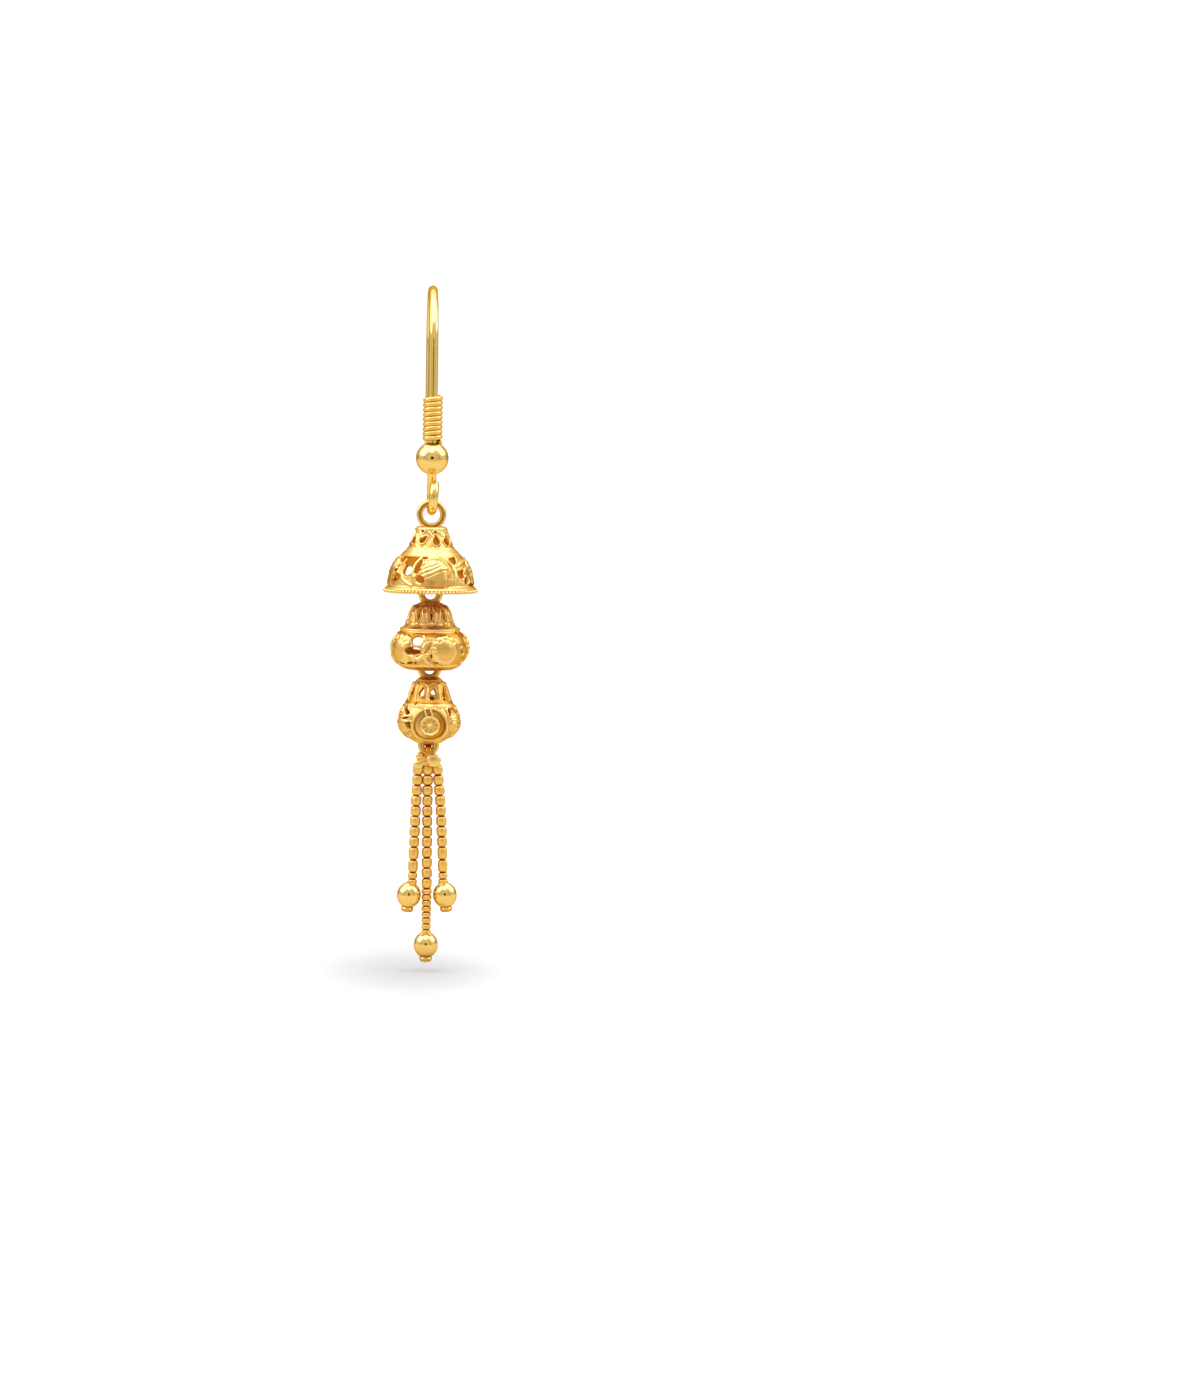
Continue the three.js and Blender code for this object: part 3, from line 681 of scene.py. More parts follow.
bell = {
    "form": [
        (0, 1.1), (0.1, 1.23), (0.6, 1.36), (1.15, 1.58), (1.72, 1.84), (2.05, 2.2), (2.4, 2.52),
        (2.86, 2.85), (3.5, 3.16), (4.2, 3.36), (4.8, 3.46), (4.92, 3.62), (5.0, 3.73), (5.06, 3.75),
        (5.12, 3.7), (5.16, 3.56)
    ],
    "plates": [4, 94, 184, 274], "plateBelow": 3.55, "plateWidth": 2.2, "grains": 76, "grainRadius": 0.15,
    "grainRing": 3.7, "grainBelow": 5.22,
    # rows of turn, below, width, height and spin
    "capDrops": [
        (13, 1.08, 0.56, 0.88, 4), (50, 1.1, 0.66, 0.86, -8), (86, 1.06, 0.5, 0.8, 4), (150, 1.2, 0.5, 0.9),
        (184, 1.06, 0.4, 0.8, 4), (224, 1.06, 0.46, 0.8, 4), (262, 1.06, 0.46, 0.8, 4),
        (300, 1.04, 0.36, 0.74, 4), (335, 1.02, 0.5, 0.78, -46)
    ],
    "capOvals": [(-33, 0.36, 0.26, 0.2), (13, 0.44, 0.24, 0.2)],
    # the front half of the round, then the back half
    "ovals": [
        (-12, 2.5, 0.5, 0.22, 4), (-57, 4.05, 0.9, 0.62), (-16, 4.15, 0.76, 0.6, -30),
        (69, 4.66, 1.2, 0.26), (168, 2.5, 0.5, 0.22, 4), (115, 3.38, 0.6, 0.9, 4),
        (164, 4.15, 0.76, 0.6, -30), (214.5, 3.72, 0.86, 0.94), (249, 4.66, 1.2, 0.26)
    ],
    "drops": [(56.5, 4.26, 0.5, 0.72, -40), (243, 4.1, 0.5, 0.6, -40)],
    "outlines": [
        [(-60, 2.44), (-22, 2.44), (-23.5, 2.64), (-30, 2.92), (-31, 3.4), (-30.5, 3.9), (-38, 3.94),
         (-44.5, 3.7), (-43.5, 3.3), (-43, 3.02), (-50, 2.86), (-61, 2.76)],
        [(-68, 3.52), (-59, 3.4), (-59, 3.62)],
        [(-16.5, 2.64), (-17, 3.05), (-18.5, 3.4), (-21.5, 3.7), (-25, 3.62), (-24.6, 3.3), (-21.3, 2.88)],
        [(31, 2.56), (46, 2.46), (44, 2.76), (38.5, 2.98), (34, 2.86)],
        [(40, 3.58), (54, 3.46), (50.5, 3.75), (51, 4.02), (44, 4.1), (40.5, 3.92)],
        [(111, 2.47), (124, 2.49), (122, 2.96), (110, 2.92)],
        [(163.5, 2.64), (163, 3.05), (161.5, 3.4), (158.5, 3.7), (155, 3.62), (155.4, 3.3), (158.7, 2.88)],
        [(228, 2.52), (243, 2.46), (241, 2.76), (235.5, 2.98), (231, 2.86)]
    ],
    "wires": [
        [(-76, 3.02), (-66, 3.06), (-58, 3.12)], [(-57, 3.0), (-60, 3.4), (-56, 3.9)],
        [(-47, 3.78), (-44, 4.14), (-38, 4.4), (-29, 4.68)],
        [(-76, 3.95), (-69, 3.72), (-61, 3.66), (-52, 3.7)],
        [(-25, 4.05), (-24, 4.36), (-20, 4.56), (-12, 4.6)],
        [(27, 2.74), (33, 3.25), (35.5, 3.8), (34, 4.5)], [(35, 3.15), (44, 3.12), (55, 2.9), (72, 2.72)],
        [(37, 3.3), (38, 3.9), (42, 4.3), (50, 4.55)],
        [(49, 4.3), (52.5, 4.0), (60, 3.95), (65, 4.2), (63, 4.48)], [(56, 3.55), (64, 3.35), (74, 3.3)]
    ],
    "boldWires": [[(-19, 2.54), (-25, 2.92), (-28, 3.4), (-27.5, 3.75), (-25, 4.0)]],
}


def bellOpenings(wall):
    ovals, drops = bell["capOvals"] + bell["ovals"], bell["capDrops"] + bell["drops"]
    return holeEdges(wall, ovals, drops, bell["outlines"])


def bellRelief(wall, below, edge):
    rise = wireRise(edge - 0.07, 0.16, 0.08)
    paintedShade = np.zeros_like(rise)
    for ridge, width, height in ((0.2, 0.22, 0.06), (1.72, 0.16, 0.06)):
        rise = np.maximum(rise, wireRise(below - ridge, width, height))
    # dented foot of the cap, and a fine line round the shoulder, both sunk and given painted shade
    dents = peak(below - 1.56, 0.08) * softStep(np.cos(np.radians(wall.turn) * 16 + 1), 0, 0.7)
    line = peak(below - 2.04, 0.03)
    rise -= 0.06 * dents + 0.02 * line
    paintedShade += dents + 0.5 * line
    # light painted shade over the whole cap
    cap = softStep(1.8 - below, 0, 0.1) * softStep(below, 0.3, 0.45)
    paintedShade += 0.3 * cap
    # curling wires on the cap, clear of painted shade
    curl = [(-5, 0.3), (3, 0.62), (13, 0.9), (14, 1.4)]
    wires = wireEdges(wall, [wire for a in range(-6, 354, 36) for wire in turnedBack([curl], a)])
    rise = np.maximum(rise, cap * wireRise(wires, 0.2, 0.1))
    paintedShade = np.where(wires < 0.09, 0, paintedShade)
    # engraved strokes over the field, under painted shade that is deeper in their grooves
    field = softStep(below, 2.26, 2.36) * softStep(4.78 - below, 0, 0.1)
    ground = strokes(wall, 0.26, 0.5) * field
    rise += 0.006 * ground
    paintedShade += field * (0.36 + 0.1 * softStep(-ground, 0.2, 1))
    for turn in (0, 180):
        # round cell in the ground, sunk and given painted shade, and the curving wires
        u, v = wall.near(turn - 62, 4.16)
        cell = ovalEdge(u, v, 1.2, 0.72)
        rise -= 0.08 * softStep(-cell, 0, 0.08)
        paintedShade = np.maximum(paintedShade, 0.85 * softStep(-cell, 0, 0.1))
        for key, width in (("wires", 0.24), ("boldWires", 0.32)):
            rise, paintedShade = layWires(wall, rise, paintedShade, field, turnedBack(bell[key], turn), width, width / 2)
    for plate in bell["plates"]:
        u, v = wall.near(plate, bell["plateBelow"])
        arch = archEdge(u, v, bell["plateWidth"], bell["plateWidth"] / 2)
        swell = domeRise(arch, 0.8, 0.13)
        # the leaf: slanting veins above a curved edge, plain metal under it; painted shade in the veins'
        # grooves and the groove under the edge, and over the plain part too
        leafEdge = v + 0.12 - 0.2 * np.sin(1.6 * u + 0.3) - 0.16 * u
        veins = np.sin(2 * math.pi * (v * 0.9 - u * 0.55 + 0.1 * np.sin(2.4 * u + 1)) / 0.3)
        upper = softStep(leafEdge, 0, 0.08)
        groove = peak(leafEdge + 0.12, 0.06)
        swell += upper * (0.022 * veins + 0.03) + wireRise(leafEdge, 0.14, 0.04) - 0.03 * groove
        swell -= 0.03 * peak(arch + 0.14, 0.04) * upper
        inPlate = field * softStep(-arch, 0, 0.03)
        shade = np.maximum(upper * softStep(-veins, 0.1, 0.9) * 0.3, groove * 0.5)
        shade = np.maximum(shade, 0.4 * (1 - upper))
        rise, paintedShade = blend(inPlate, rise, swell, paintedShade, shade)
        rise = np.maximum(rise, field * wireRise(arch - 0.01, 0.16, 0.13))
        # shallow moon on the plate's other side, sunk and given painted shade
        moon = np.maximum(np.abs(np.hypot(u - 0.1, v) - 1.3) - 0.15, np.maximum(0.3 - u, -0.62 - v))
        sunk = softStep(-moon, 0, 0.05) * field
        rise -= 0.09 * sunk
        paintedShade = np.maximum(paintedShade, 0.85 * sunk)
    # painted shade in two thin lines round the bell's foot
    paintedShade += 0.6 * peak(below - 4.86, 0.05) + 0.4 * peak(below - 5.2, 0.04)
    return rise, paintedShade


def makeTier(name, form, ring, body, openings, relief, inside):
    wall = TierWall(form, topOf(ring))
    mesh = pierced(wall, openings, relief)
    addPiece(name, mesh, body, "cast_gold", castGold, inside, replaces=[ring["node"]])
    return wall


def addFittings(name, meshes, body, ring):
    addPiece(name, joinMeshes(meshes), body, "cast_gold", castGold, replaces=[ring["node"]])


def grainRow(radius, z, count, size):
    # Half-sunk grains in a circle: small spheres, repeated at even turns
    a = np.linspace(0, math.pi, 6)[:, None]
    t = circle(8)[None]
    grain = np.stack([np.sin(a) * np.cos(t), np.sin(a) * np.sin(t), np.cos(a) + 0 * t], -1) * size * mm
    turns = circle(count)
    return [gridMesh(grain + np.array([radius * math.sin(k) * mm, dropAxis - radius * math.cos(k) * mm, z]))
            for k in turns]


def makeBell():
    wall = makeTier("upperBell", bell["form"], bellRing, "bell", bellOpenings, bellRelief, shadedInnerGold)
    grainZ = wall.topZ - bell["grainBelow"] * mm
    grains = grainRow(bell["grainRing"], grainZ, bell["grains"], bell["grainRadius"])
    fittings = [tierRing(wall.topZ, bellRing, 0.4), linkMesh(wall.topZ, middleRing), *grains]
    addFittings("bellFittings", fittings, "bell", bellRing)


makeBell()
print("bell made")


middle = {
    "form": [
        (0, 0.84), (0.14, 1.08), (0.45, 1.4), (0.85, 1.6), (1.3, 1.72), (1.6, 1.84), (1.9, 2.1),
        (2.12, 2.34), (2.3, 2.42), (2.75, 2.8), (3.2, 2.98), (3.6, 3.04), (4.05, 3.02), (4.6, 2.82),
        (5.2, 2.4), (5.44, 1.9), (5.5, 1.25)
    ],
    "bosses": [23, 112, 174, 240, 305], "bossBelow": 3.76, "bossWidth": 2.3, "bossHeight": 2.72,
    "slotTurn": 2, "slotBelow": 1.08, "slotWidth": 0.26, "slotHeight": 0.62,
    # the gap left of the front boss, repeated in the others, and the one right of it
    "gapOvals": [
        (-22.5, 2.92, 1.04, 0.88), (-52, 4.74, 0.5, 0.24, -14), (-37, 4.76, 0.54, 0.3, 12),
        (-27, 4.76, 0.28, 0.24), (1, 4.2, 0.18, 0.36), (8.5, 4.66, 0.46, 0.18)
    ],
    "gapOutlines": [
        [(-40, 3.75), (-35, 3.54), (-23, 3.53), (-17.5, 3.64), (-17, 3.96), (-27, 4.1), (-36.5, 4.0)]
    ],
    "sideOvals": [(60, 3.9, 0.6, 0.64), (67, 4.7, 0.44, 0.36), (57, 2.44, 0.5, 0.4)],
    "backOvals": [(200.5, 3.34, 1.3, 1.25)],      # one large hole behind
    "sideDrops": [(78, 3.2, 0.5, 0.8, 20), (82, 4.2, 0.4, 0.6, 60)],
    "gapWires": [
        [(-12, 2.6), (-11.5, 3.0), (-15, 3.38)], [(-45, 2.62), (-37, 2.8), (-35, 3.2), (-38, 3.5)],
        [(-57, 4.6), (-47, 4.55), (-43, 4.85)], [(-46, 4.85), (-33, 4.52), (-28, 4.62)],
        [(-2, 3.9), (2, 3.6), (4, 3.3)]
    ],
    "boldWires": [
        [(-12, 3.84), (-10, 3.5), (-7, 3.22), (-3.5, 3.1)],
        [(-43, 4.02), (-35, 4.24), (-25, 4.42), (-17, 4.46)], [(-20, 4.44), (-12, 4.2), (-5, 4.1)],
        [(-10, 4.32), (-5, 4.68), (3, 4.9), (13, 4.96)]
    ],
}


def gapTurns():
    # Turns from the gap left of the front boss to all gaps but the one right of it, which has
    # holes of its own
    bosses = middle["bosses"]
    gaps = [(a + b) / 2 for a, b in zip(bosses, bosses[1:] + [bosses[0] + 360])]
    return [gap - gaps[-1] for gap in gaps[1:]]


def slotTurns():
    return [middle["slotTurn"] + 36 * i for i in range(10)]


def middleOpenings(wall):
    slot = [middle[key] for key in ("slotBelow", "slotWidth", "slotHeight")]
    drops = [(turn, *slot, 180) for turn in slotTurns()] + middle["sideDrops"]
    ovals = middle["sideOvals"] + middle["backOvals"]
    outlines = []
    for turn in gapTurns():
        ovals += turnedHoles(middle["gapOvals"], turn)
        outlines += turnedBack(middle["gapOutlines"], turn)
    return holeEdges(wall, ovals, drops, outlines)


def middleRelief(wall, below, edge):
    rise = wireRise(edge - 0.07, 0.16, 0.07)
    paintedShade = np.zeros_like(rise)
    # petal line round each slot, swells between the slots, and a bright drop at the foot of each; painted
    # shade over the cap, lighter on the swells and petal lines, and none on the drops
    petal = [(-4, 0.35), (-13, 0.9), (-10, 1.4), (0, 1.75), (10, 1.4), (13, 0.9), (4, 0.35)]
    cap = softStep(below, 0.12, 0.3) * softStep(2.05 - below, 0, 0.1)
    swell = np.abs(np.sin(np.radians(wall.turn - middle["slotTurn"]) * 5))
    rise += cap * 0.10 * swell * softStep(1.8 - below, 0, 0.3)
    paintedShade += cap * (0.85 - 0.3 * swell)
    for turn in slotTurns():
        wires = wireEdges(wall, turnedBack([petal], turn))
        rise = np.maximum(rise, cap * (0.06 + wireRise(wires, 0.16, 0.08)) * (wires < 0.08))
        paintedShade = np.where(wires < 0.07, 0.45 * paintedShade, paintedShade)
        u, v = wall.near(turn, 1.58)
        tip = dropEdge(u, v, 0.26, 0.42)
        rise = np.maximum(rise, domeRise(tip, 0.11, 0.2))
        paintedShade = np.where(tip < 0.01, 0, paintedShade)
    for ridge, width, height in ((2.16, 0.18, 0.1), (5.06, 0.16, 0.05)):
        rise = np.maximum(rise, wireRise(below - ridge, width, height))
    # painted shade in a line under the shoulder ridge
    paintedShade += peak(below - 2.4, 0.07) * 0.9
    body = softStep(below, 2.3, 2.4) * softStep(5.0 - below, 0, 0.1)
    # engraved strokes over the body, under painted shade that is deeper in their grooves and darker just
    # under the shoulder
    ground = strokes(wall, 0.24, -0.55) * body
    rise += 0.006 * ground
    paintedShade += body * (0.52 + 0.1 * softStep(-ground, 0.2, 1) + 0.3 * softStep(2.85 - below, 0, 0.1))
    for turn in gapTurns():
        for key, width in (("gapWires", 0.24), ("boldWires", 0.38)):
            wires = turnedBack(middle[key], turn)
            rise, paintedShade = layWires(wall, rise, paintedShade, body, wires, width, width * 0.6)
        # curl by the next boss's foot: a small dome almost clear of painted shade
        u, v = wall.near(turn + 6, 4.38)
        rise = np.maximum(rise, body * domeRise(np.hypot(u, v) - 0.24, 0.2, 0.16))
        paintedShade = np.where(np.hypot(u, v) < 0.24, 0.1, paintedShade)
    for turn in middle["bosses"]:
        # smooth dome with a collar of small petals, strongest up and to the left; painted shade in the
        # notches between them, along the collar's inner edge, over the dome's middle and round its foot
        u, v = wall.near(turn, middle["bossBelow"])
        oval = ovalEdge(u, v, middle["bossWidth"], middle["bossHeight"])
        k = np.hypot(u / middle["bossWidth"], v / middle["bossHeight"]) * 2
        angle = np.arctan2(v, u)
        petals = np.abs(np.cos(6 * angle + 0.4)) ** 0.7
        facing = 0.1 + 0.9 * softStep(np.cos(angle - 1.9), -0.2, 0.5)
        collar = softStep(k, 0.62, 0.7) * softStep(1.02 - k, 0, 0.1)
        swell = 0.30 * np.sqrt(np.clip(1 - (k * 0.97) ** 2, 0, 1))
        swell += collar * facing * (0.08 * petals - 0.03)
        swell -= 0.04 * peak(k - 0.64, 0.04) * facing
        inside = body * softStep(-oval, 0, 0.04)
        notch = collar * softStep(0.5 - petals, 0, 0.3) * facing
        shade = np.maximum(0.6 * notch, 0.3 * facing * peak(k - 0.63, 0.05))
        shade = np.maximum(shade, 0.35 * softStep(0.66 - k, 0, 0.1))
        rise, paintedShade = blend(inside, rise, np.maximum(swell, 0.02), paintedShade, shade)
        paintedShade = np.maximum(paintedShade, body * 0.6 * peak(oval - 0.07, 0.05))
    # painted shade round the bottom edge
    paintedShade += np.where(below > 5.15, 0.5, 0)
    return rise, paintedShade


def makeMiddle():
    wall = makeTier(
        "middleLantern", middle["form"], middleRing, "middle", middleOpenings, middleRelief, litLanternInside)
    fittings = [tierRing(wall.topZ, middleRing, 0.2), linkMesh(wall.topZ, lowerRing)]
    addFittings("middleFittings", fittings, "middle", middleRing)


makeMiddle()
print("middle lantern made")


lower = {
    "form": [
        (0, 0.8), (0.14, 1.0), (0.6, 1.32), (1.15, 1.54), (1.75, 1.72), (2.0, 1.92), (2.55, 2.22),
        (3.05, 2.42), (3.65, 2.52), (4.25, 2.36), (4.75, 1.92), (5.2, 1.26), (5.36, 0.98), (5.44, 0.6),
        (5.45, 0.42)
    ],
    "windows": [1, 121, 241], "windowBelow": 3.64, "windowTop": 2.48, "windowFoot": 4.94,
    "windowWidth": 2.7, "discBelow": 3.8, "discRadius": 0.86, "discSunk": 0.4, "dishRadius": 1.25,
    "dishSunk": 0.62, "postWire": 0.09, "petals": 9, "neckBelow": 5.57, "neckRadius": 0.6, "neckWire": 0.27,
    "drops": [
        (12, 1.1, 0.44, 0.54), (47, 1.15, 0.34, 0.9), (84, 1.1, 0.36, 0.7), (124, 1.1, 0.36, 0.7),
        (167, 1.2, 0.62, 0.74), (202, 1.24, 0.66, 0.95), (240, 1.1, 0.36, 0.7), (274, 1.1, 0.36, 0.7),
        (302, 1.1, 0.36, 0.7), (336.5, 1.1, 0.46, 0.8)
    ],
    "capOvals": [
        (6.5, 1.62, 0.4, 0.36), (43, 1.74, 0.28, 0.26), (-35, 2.05, 0.22, 0.42, -15), (112, 1.6, 0.3, 0.3),
        (256, 1.6, 0.3, 0.3)
    ],
    # scrollwork round the front window, repeated round the other two
    "ovals": [
        (-49, 3.22, 0.62, 0.24, 12), (-52, 4.52, 0.3, 0.28), (44.5, 2.74, 0.36, 0.84, -18),
        (62, 2.42, 0.36, 0.3)
    ],
    "outlines": [
        [(-66, 2.46), (-57, 2.48), (-44, 2.8), (-47.5, 2.94), (-57, 2.78)],
        [(-47, 3.58), (-40, 3.56), (-38.5, 3.96), (-42, 4.0)]
    ],
    "wires": [
        [(-74, 2.72), (-62, 2.86), (-52, 3.02), (-44, 3.08)], [(-62, 3.45), (-52, 3.4), (-44, 3.36)],
        [(-50, 3.5), (-48, 3.9), (-42, 4.16)], [(-44, 2.5), (-39, 2.8), (-37, 3.2)],
        [(-64, 4.02), (-55, 4.1), (-46, 4.2)], [(35, 2.46), (38.5, 2.8), (40.5, 3.2)],
        [(50, 2.5), (51, 2.9), (47, 3.26)]
    ],
}


def lowerOpenings(wall):
    ovals, outlines, edges = list(lower["capOvals"]), [], []
    for turn in lower["windows"]:
        offset = turn - lower["windows"][0]
        ovals += turnedHoles(lower["ovals"], offset)
        outlines += turnedBack(lower["outlines"], offset)
        edges.append(windowEdge(wall, turn))
    drops = [(*drop, -12) for drop in lower["drops"]]
    return np.minimum.reduce([holeEdges(wall, ovals, drops, outlines), *edges])


def windowEdge(wall, turn):
    # Oval on the wall that looks round from the front, where the wall bends in below it
    top, foot = wall.arcAt(lower["windowTop"]), wall.arcAt(lower["windowFoot"])
    u = np.radians((wall.turn - turn + 180) % 360 - 180)
    u = np.sin(np.clip(u, -1.4, 1.4)) * wall.radiusAt(wall.down)
    return ovalEdge(u, (top + foot) / 2 - wall.down, lower["windowWidth"], foot - top)


def lowerRelief(wall, below, edge):
    rise = wireRise(edge - 0.06, 0.14, 0.06)
    paintedShade = np.zeros_like(rise)
    # arched petals round the slots of the cap, over painted shade on the cap, with little of it on their
    # outlines
    cap = softStep(below, 0.18, 0.3) * softStep(2.12 - below, 0, 0.08)
    paintedShade += 0.85 * cap
    for drop in lower["drops"]:
        u, v = wall.near(drop[0], 1.05)
        petal = archEdge(u, v, 0.86 + 0.1 * (0.4 - v), 0.66)
        shown = cap * softStep(1.9 - below, 0, 0.1)
        swell = np.maximum(wireRise(petal, 0.16, 0.13), 0.05 * softStep(-petal, 0, 0.1))
        rise = np.maximum(rise, shown * swell)
        paintedShade = np.where((np.abs(petal) < 0.07) & (shown > 0), 0.15, paintedShade)
    # thin collar line that dips over each window
    line = below - 2.2 - 0.16 * np.cos(1.5 * np.radians(wall.turn - lower["windows"][0])) ** 2
    rise = np.maximum(rise, wireRise(line, 0.16, 0.08))
    rise = np.maximum(rise, wireRise(below - 1.92, 0.14, 0.04))
    paintedShade = np.where(np.abs(line) < 0.07, 0, paintedShade)
    # painted shade in a line between the ridge and the collar line
    paintedShade += peak(below - 2.06, 0.05) * 0.3
    body = softStep(line, 0.06, 0.14) * softStep(5.1 - below, 0, 0.1)
    # engraved strokes over the body, under painted shade that is deeper in their grooves
    ground = strokes(wall, 0.24, 0.6) * body
    rise += 0.005 * ground
    paintedShade += body * (0.3 + 0.1 * softStep(-ground, 0.2, 1))
    for turn in lower["windows"]:
        offset = turn - lower["windows"][0]
        rise, paintedShade = layWires(wall, rise, paintedShade, body, turnedBack(lower["wires"], offset), 0.2, 0.1)
        # ribbed fan between two windows, with painted shade that is deeper between its ribs and round its
        # edge
        u, v = wall.near(turn + 61, 3.7)
        fan = ovalEdge(u, v, 1.7, 1.7)
        ribs = np.cos(2 * math.pi * (v + 0.12 * u) / 0.26)
        swell = domeRise(fan, 0.5, 0.22) + 0.025 * ribs * softStep(-fan, 0.02, 0.2)
        inside = body * softStep(-fan, 0, 0.03)
        rise, paintedShade = blend(inside, rise, swell, paintedShade, 0.15 + softStep(-ribs, 0.1, 0.9) * 0.25)
        paintedShade = np.maximum(paintedShade, body * 0.5 * peak(fan - 0.06, 0.05))
        u, v = wall.near(turn - 53, 4.52)
        ring = np.abs(np.hypot(u, v) - 0.26)
        rise = np.maximum(rise, body * wireRise(ring, 0.22, 0.13))
        paintedShade = np.where((ring < 0.1) & (body > 0), 0, paintedShade)
        # raised rim round the window, clear of painted shade, with a line of painted shade just outside it
        rim = windowEdge(wall, turn)
        rise = np.maximum(rise, wireRise(rim - 0.08, 0.17, 0.1) * softStep(5.2 - below, 0, 0.1))
        paintedShade = np.where((rim > 0) & (rim < 0.16), 0, paintedShade)
        paintedShade = np.maximum(paintedShade, body * 0.6 * peak(rim - 0.22, 0.05))
    return rise, paintedShade


def discPoints(centre, r, a, h, around, up, out):
    # r and h in mm at the angles a
    return (centre + (r * np.cos(a))[..., None] * around * mm
            + (r * np.sin(a))[..., None] * up * mm + h[..., None] * out * mm)


def flowerDisc(centre, around, up, out):
    # Front: 0.06 + petals that rise by 0.03 |cos(n a / 2)|^0.6 sin(pi k)^0.8, a rim near the edge and a
    # knob in the middle, k from 0 to 1. Its edge swells with the petals, and the back is flat.
    count, rings = 108, 24
    a = circle(count)
    petal = np.abs(np.cos(lower["petals"] / 2 * a)) ** 0.6
    edge = lower["discRadius"] * (0.95 + 0.05 * petal)
    k = np.linspace(0, 1, rings)[:, None]
    front = 0.06 + 0.03 * petal * np.sin(math.pi * k) ** 0.8 + 0.16 * peak(k, 0.15)
    front = front + 0.09 * peak(k - 0.88, 0.09)
    front[-1] = 0.0
    r = np.vstack([k * edge, k[::-1] * edge])
    h = np.vstack([front, np.full((rings, count), -0.1)])
    # painted shade over a band between the knob and the rim, a little deeper between the petals, and full
    # painted shade on the back
    shade = softStep(0.4 - petal, 0, 0.3) * softStep(k, 0.1, 0.3) * softStep(0.8 - k, 0, 0.1)
    shade = np.maximum(0.2 * shade, 0.35 * softStep(0.76 - k, 0, 0.1) * softStep(k, 0.16, 0.24))
    shade = np.vstack([shade, np.ones_like(shade)])
    return gridMesh(discPoints(centre, r, a, h, around, up, out), paintedShade=shade)


def windowDish(centre, around, up, out):
    # Shallow dish behind a disc: -0.1 (r / radius)^2, with a painted shadow that deepens to the right and
    # below
    count, rings = 72, 14
    a = circle(count)
    k = np.linspace(0, 1, rings)[:, None]
    r = np.vstack([k, k[::-1]]) * lower["dishRadius"] * np.ones(count)
    front = -0.1 * k ** 2 * np.ones(count)
    h = np.vstack([front, front[::-1] - 0.12])
    shade = 0.2 + 0.8 * softStep(k * np.cos(a + 0.6), -0.3, 0.6)
    return gridMesh(discPoints(centre, r, a, h, around, up, out), paintedShade=np.vstack([shade, shade[::-1]]))


def makeLower():
    wall = makeTier(
        "lowerLantern", lower["form"], lowerRing, "lower", lowerOpenings, lowerRelief, litLanternInside)
    fittings = [
        tierRing(wall.topZ, lowerRing, 0.2),
        ringMesh(wall.topZ - lower["neckBelow"] * mm, lower["neckRadius"], lower["neckWire"], 0.2),
    ]
    dishes = []
    for turn in lower["windows"]:
        centre, around, up, out = wall.place(turn, lower["windowBelow"])
        drop = (lower["discBelow"] - lower["windowBelow"]) * mm
        hub = centre - lower["discSunk"] * mm * out - drop * up
        fittings.append(flowerDisc(hub, around, up, out))
        dishes.append(windowDish(centre - lower["dishSunk"] * mm * out, around, up, out))
        for x, lean in ((-0.26, -0.2), (0.26, -0.24)):
            # posts from the disc up to the window's rim
            stem = np.linspace(0, 1, 8)[:, None]
            path = (hub + around * (x + lean * stem) * mm + up * (0.74 + 0.6 * stem) * mm
                    + out * (0.06 + 0.16 * stem) * mm)
            fittings.append(tubeMesh(path, lower["postWire"] * mm, out, sides=10))
    addFittings("windowDishes", dishes, "lower", lowerRing)
    addFittings("lowerFittings", fittings, "lower", lowerRing)


makeLower()
print("lower lantern made")


tassel = {"linkRadius": 0.48, "linkWire": 0.16, "bodyRadius": 0.98, "beadRadius": 0.43,
          "footRadius": 0.385, "fineRows": {"left": 1, "middle": 4, "right": 1}}
chainStretches = {
    "left": ["left_chain_1", "left_chain_2", "left_chain_3"],
    "middle": ["middle_chain_1", "middle_chain_2", "middle_chain_3", "middle_chain_4"],
    "right": ["right_chain_1", "right_chain_2", "right_chain_3"],
}
beadCounts = {"left": [4, 4, 3], "middle": [4, 4, 4, 4], "right": [4, 4, 3]}
ball = {
    "radius": 0.98, "tall": 1.1, "fall": 1.46, "rows": 56, "sides": 80,
    "capRadii": [0.47, 0.46, 0.48, 0.51, 0.52, 0.51, 0.48, 0.46, 0.40, 0.2, 0],
    "capHeights": [-0.95, -0.98, -1.02, -1.07, -1.12, -1.17, -1.22, -1.28, -1.36, -1.42, -1.43],
    "capShades": [1, 1, 0.5, 0.2, 0.1, 0.4, 1, 0.6, 0.1, 0.1, 0.1],
}


def lobeMesh(width, height, depth, x, y, z, dent=0.0, shade=0.0):
    # Ellipsoid, its front pressed flat a little
    a = np.linspace(0, math.pi, 28)[:, None]
    t = circle(48)[None]
    lift = np.cos(a) * np.ones_like(t)
    wide, deep = np.sin(a) * np.sin(t), -np.sin(a) * np.cos(t)
    deep = np.where(deep < -0.55, -0.55 - (1 - dent) * (-0.55 - deep), deep)
    y += dropAxis / mm
    points = np.stack([x + wide * width / 2, y + deep * depth / 2, z + lift * height / 2], -1) * mm
    return gridMesh(points, paintedShade=np.full(points.shape[:2], shade))


